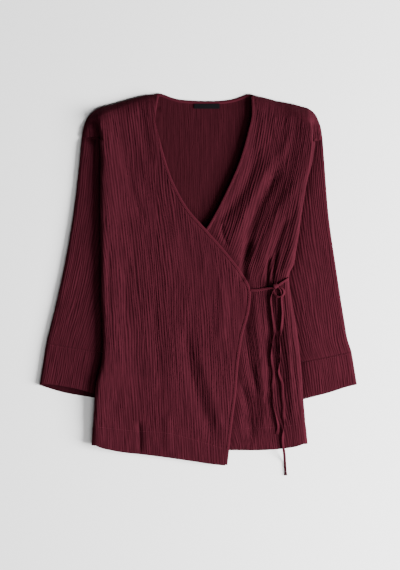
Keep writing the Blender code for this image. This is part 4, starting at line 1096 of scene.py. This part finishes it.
TIE_GRAIN, KNOT_GRAIN, RING_GRAIN = 40.0, 20.0, 60.0  # each one's own part of the pattern
RING_STEPS, RING_RISE = 90, 2.2

KNOT_AT = (142.6, -12.6)
KNOT_TURNS, KNOT_STEPS = 1.6, 110
KNOT_ACROSS, KNOT_UP = 4.3, 3.3  # radii of its winding, level and upright
KNOT_SLIDE = 2.6  # how far it winds along to either side of its middle
KNOT_TILT = math.radians(24)
KNOT_THICK = 1.7

LABEL_AT, LABEL_SIZE = (15.6, 320.6), (47.0, 9.0, 0.8)
LABEL_WARP = 0.25  # how far its long edges bend up and down


def tie_path(route, steps, rise):
    """A tie's route on the left front: its height follows the cloth, and the floor past the hem.

    Over the roll at the side it follows the arc's height, sqrt(ROLL^2 - (ROLL - inward)^2) - ROLL.
    """
    plan = curve_at(route, np.linspace(0, 1, steps))
    x, y = plan[:, 0], plan[:, 1]
    past_hem = ease((y_at_x(HEMS["left"], x) - TIE_DROP_START - y) / TIE_DROP_LENGTH)
    inward = np.clip(x_at_y(SIDES["left"], y) - x, 0.0, ROLL)
    height = front_top(x, y, "left") + CRINKLE - ROLL + np.sqrt(ROLL**2 - (ROLL - inward) ** 2)
    height = height * (1 - past_hem) + TIE_THICK / 2 + TIE_REST + rise
    return np.column_stack([plan, height])


def tie(name, route, steps, turns, seed, rise):
    """A flat stitched strip laid along its route, turning over here and there.

    It lies higher by |sin(turn)| of half its width less half its thickness, and its width wavers
    by an eighth and flares at the free end.
    """
    path = tie_path(route, steps, rise)
    length = path_length(path)
    turn = np.interp(length / length[-1], *np.transpose(turns))
    turn = turn + TIE_TWIST * (noise(length / 21, length * 0 + seed, 4) - 0.5)
    path[:, 2] += (TIE_WIDTH - TIE_THICK) / 2 * np.abs(np.sin(turn))
    width = TIE_WIDTH * (0.88 + 0.24 * noise(length / 12, length * 0 + seed, 5))
    width *= 1 + TIE_FLARE * ease(1 - (length[-1] - length) / FLARE_LENGTH)
    made = strip(name, path, crossways(path), width, TIE_THICK, BIAS, turn, TIE_GRAIN)
    return made, path, length[-1]


def knot():
    """The knot: a strip wound round the crossing as a helix of KNOT_TURNS turns, turned on the cloth."""
    x, y = KNOT_AT
    cloth_z = float(front_top(np.array([x]), np.array([y]), "left")[0]) + CRINKLE
    angle = np.linspace(0, math.tau * KNOT_TURNS, KNOT_STEPS)
    slide = np.linspace(-KNOT_SLIDE, KNOT_SLIDE, KNOT_STEPS)
    swing = KNOT_ACROSS * np.cos(angle)
    cos, sin = math.cos(KNOT_TILT), math.sin(KNOT_TILT)
    height = cloth_z + KNOT_ACROSS + KNOT_UP * np.sin(angle)
    path = np.column_stack([x + slide * cos - swing * sin, y + slide * sin + swing * cos, height])
    across = np.tile([cos, sin, 0.0], (KNOT_STEPS, 1))
    return strip("knot_wrap", path, across, TIE_WIDTH, KNOT_THICK, BIAS, None, KNOT_GRAIN)


def ring():
    """The small loop that stands out of the knot, turning a little on its way."""
    path = tie_path(RING_ROUTE, RING_STEPS, RING_RISE)
    turn = np.linspace(0.1, 1.1, RING_STEPS)
    return strip("tie_ring", path, crossways(path), TIE_WIDTH, TIE_THICK, BIAS, turn, RING_GRAIN)


def label():
    """The bare woven strip under the back neck: a thin plate, waved by LABEL_WARP sin(x / 9)."""
    length, width, thick = LABEL_SIZE
    x, y = np.meshgrid(np.linspace(-1, 1, 24) * length / 2, np.linspace(-1, 1, 8) * width / 2)
    z = WALL + CRINKLE + SEAM + thick + LABEL_WARP * np.sin(x / 9) * (y / (width / 2))
    face = np.stack([x + LABEL_AT[0], y + LABEL_AT[1], z], axis=-1)
    return shell("label_strip", face, face - [0, 0, thick], np.stack([x, y, 0 * x], axis=-1), LABEL)


FRONT_TIE, FRONT_PATH, FRONT_LENGTH = tie(
    "tie_of_front", FRONT_TIE_ROUTE, 420, FRONT_TIE_TURNS, FRONT_TIE_SEED, FRONT_TIE_RISE
)
SIDE_TIE, SIDE_PATH, SIDE_LENGTH = tie(
    "tie_of_side", SIDE_TIE_ROUTE, 360, SIDE_TIE_TURNS, SIDE_TIE_SEED, SIDE_TIE_RISE
)
KNOT, RING, NECK_LABEL = knot(), ring(), label()

# The surface it lies on ------------------------------------------------------------------------

FLOOR_HALF, FLOOR_Z = 6, -0.0002  # in metres, just under the cloth
FLOOR_CORNERS = [
    (x * FLOOR_HALF, y * FLOOR_HALF, FLOOR_Z) for x, y in ((-1, -1), (1, -1), (1, 1), (-1, 1))
]

ground = bpy.data.meshes.new("floor")
ground.from_pydata(FLOOR_CORNERS, [], [(0, 1, 2, 3)])
ground.materials.append(plain("floor_paint", (0.97, 0.97, 0.97), 0.9))
floor = bpy.data.objects.new("floor", ground)
bpy.context.scene.collection.objects.link(floor)

# Stitches ---------------------------------------------------------------------------------------

STITCH, STITCH_STEP, THREAD_WIDTH = 2.4, 3.1, 0.8
STITCH_SIDES = 6
STITCH_AHEAD = 0.8  # its direction is read from its middle to this far ahead
SPINDLE = ((-0.6, 0.85), (0.0, 1.0), (0.6, 0.85))  # share of half its length, and of its width
HEM_ROWS = {"right": (-186.0, 44.0), "left": (20.0, 183.0)}  # x where each hem's row runs
HEM_ROW_RISE = 0.95  # over the front without its crinkle
EDGE_ROW_IN, EDGE_ROW_SUNK = 1.0, 0.15  # from the binding's inner edge, and into its face
EDGE_ROW_END_Y = 118.0  # the left edge's row ends here, above the right front
CUFF_ROW_IN, CUFF_ROW_RISE = 3.0, 1.0  # past the cuff's seam, and over the sleeve's height


def stitches(name, line):
    """A row of stitches along a line: each a spindle of three rings between two poles."""
    length = path_length(line)
    at = np.arange(STITCH_STEP / 2, length[-1], STITCH_STEP)
    centre, ahead = (
        np.stack([np.interp(place, length, line[:, i]) for i in range(3)], axis=1)
        for place in (at, at + STITCH_AHEAD)
    )
    along = unit(ahead - centre)
    across = unit(np.cross([0.0, 0.0, 1.0], along))
    up = np.cross(along, across)
    angle = (np.arange(STITCH_SIDES) * math.tau / STITCH_SIDES)[:, None]
    ring = across[:, None] * np.cos(angle) + up[:, None] * np.sin(angle)
    rings = [
        centre[:, None] + along[:, None] * place * STITCH / 2 + ring * size * THREAD_WIDTH / 2
        for place, size in SPINDLE
    ]
    poles = [(centre + along * end * STITCH / 2)[:, None] for end in (-1, 1)]
    points = np.concatenate([*rings, *poles], axis=1)
    near = np.arange(STITCH_SIDES)
    after = (near + 1) % STITCH_SIDES
    to_last = (len(SPINDLE) - 1) * STITCH_SIDES
    first_pole = len(SPINDLE) * STITCH_SIDES
    quads = np.concatenate([
        np.stack([near + k, after + k, after + k + STITCH_SIDES, near + k + STITCH_SIDES], axis=1)
        for k in range(0, to_last, STITCH_SIDES)
    ])
    first = np.stack([after, near, near * 0 + first_pole], axis=1)
    last = np.stack([near + to_last, after + to_last, near * 0 + first_pole + 1], axis=1)
    start = (np.arange(len(at)) * points.shape[1])[:, None, None]
    faces = (quads + start).reshape(-1, 4).tolist()
    faces += (np.concatenate([first, last]) + start).reshape(-1, 3).tolist()
    return finish(name, points.reshape(-1, 3), faces, THREAD, None, 80.0)


def hem_stitches(side):
    """The row that holds a front's turned hem."""
    x = np.linspace(*HEM_ROWS[side], 200)
    y = y_at_x(HEM_LINES[side], x)
    height = front_top(x, y, side) + HEM_ROW_RISE
    return stitches(f"hem_stitches_{side}", np.stack([x, y, height], axis=1))


def edge_stitches(side):
    """The row along the inner edge of a front's binding, clear of the other front."""
    line = PATH_OF_BINDING[side]
    plan = moved_in(line[:, :2], BINDING_WIDTH / 2 - EDGE_ROW_IN, -INWARD[side])
    stop = len(plan) if side == "right" else int(np.argmax(plan[:, 1] < EDGE_ROW_END_Y))
    raised = np.column_stack([plan, line[:, 2] + BINDING_THICK / 2 - EDGE_ROW_SUNK])
    return stitches(f"edge_stitches_{side}", raised[4:stop])


def cuff_stitches(side):
    """The row beside a cuff's seam, on its upper layer."""
    plan = curve_at(CUFF_SEAMS[side], np.linspace(0.05, 0.8, 120)) - [0.0, CUFF_ROW_IN]
    height = sleeve_top(plan[:, 0], plan[:, 1], side) + CUFF_ROW_RISE
    return stitches(f"cuff_stitches_{side}", np.column_stack([plan, height]))


STITCHES = {
    f"{kind}_{side}": made(side)
    for side in ("right", "left")
    for kind, made in (("hem", hem_stitches), ("edge", edge_stitches), ("cuff", cuff_stitches))
}

# What stands for which node, and what each piece is ---------------------------------------------

HEM_RIGHT, HEM_LEFT = STITCHES["hem_right"], STITCHES["hem_left"]
EDGE_RIGHT, EDGE_LEFT = STITCHES["edge_right"], STITCHES["edge_left"]
SHEETS = (
    # piece, its node, flat width and length in metres, flat area in square metres,
    # what it rests on, and what moves with it
    (FRONT_RIGHT, "front_right", (0.315, 0.665), 0.155,
     [FRONT_LEFT, BACK], [BINDINGS["right"], HEM_RIGHT, EDGE_RIGHT]),
    (FRONT_LEFT, "front_left", (0.330, 0.660), 0.160, [BACK], [BINDINGS["left"], HEM_LEFT, EDGE_LEFT]),
    (BACK, "back", (0.420, 0.650), 0.240, [floor], [BINDING_NECK, NECK_LABEL]),
    (SLEEVES["right"], "sleeve_right", (0.235, 0.405), 0.066, [floor], []),
    (SLEEVES["left"], "sleeve_left", (0.235, 0.420), 0.066, [floor], []),
    (CUFFS["right"], "cuff_right", (0.240, 0.082), 0.0193, [floor], [STITCHES["cuff_right"]]),
    (CUFFS["left"], "cuff_left", (0.235, 0.066), 0.0150, [floor], [STITCHES["cuff_left"]]),
)
OTHERS = (  # piece, its slot and the nodes it stands for
    (BINDINGS["right"], "bias_strip", "binding_front_right"),
    (BINDINGS["left"], "bias_strip", "binding_front_left"),
    (BINDING_NECK, "bias_strip", "binding_back_neck"),
    (FRONT_TIE, "tie", "tie_front", "tie_end_long"),
    (SIDE_TIE, "tie", "tie_side", "tie_end_short"),
    (KNOT, "tie", "knot"),
    (RING, "tie", "tie_loop"),
    (NECK_LABEL, "label", "label"),
)
for piece, node, *_ in SHEETS:
    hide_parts(node)
for piece, slot, *nodes in OTHERS:
    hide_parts(*nodes)

# Camera and light ------------------------------------------------------------------------------

SENSOR = 24.0
CAMERA_AT = (2.8 * MM, -11.1 * MM, 4.0)
CLOTH_AWAY = 3.985  # from the camera to the cloth
PICTURE_HEIGHT = 1.0545  # of the surface, in metres: 570 pixels of 1.85 mm
WHITE = (1.0, 1.0, 1.0, 1.0)

camera = bpy.data.objects.new("camera", bpy.data.cameras.new("camera"))
camera.location = CAMERA_AT
camera.data.sensor_fit = "VERTICAL"
camera.data.sensor_height = SENSOR
camera.data.lens = SENSOR * CLOTH_AWAY / PICTURE_HEIGHT
bpy.context.scene.collection.objects.link(camera)
bpy.context.scene.camera = camera


def lamp(name, place, size, power):
    """A square light aimed at the middle of the garment."""
    light = bpy.data.lights.new(name, "AREA")
    light.size, light.energy = size, power
    made = bpy.data.objects.new(name, light)
    made.location = place
    made.rotation_mode = "QUATERNION"
    made.rotation_quaternion = (-made.location).to_track_quat("-Z", "Y")
    bpy.context.scene.collection.objects.link(made)


lamp("main_light", (2.5, -0.65, 1.5), 1.7, 480.0)
lamp("fill_light", (0.7, -1.8, 2.8), 2.0, 65.0)
world = bpy.data.worlds.new("studio")
world.use_nodes = True
set_inputs(world.node_tree.nodes["Background"], {"Color": WHITE, "Strength": 0.075})
bpy.context.scene.world = world
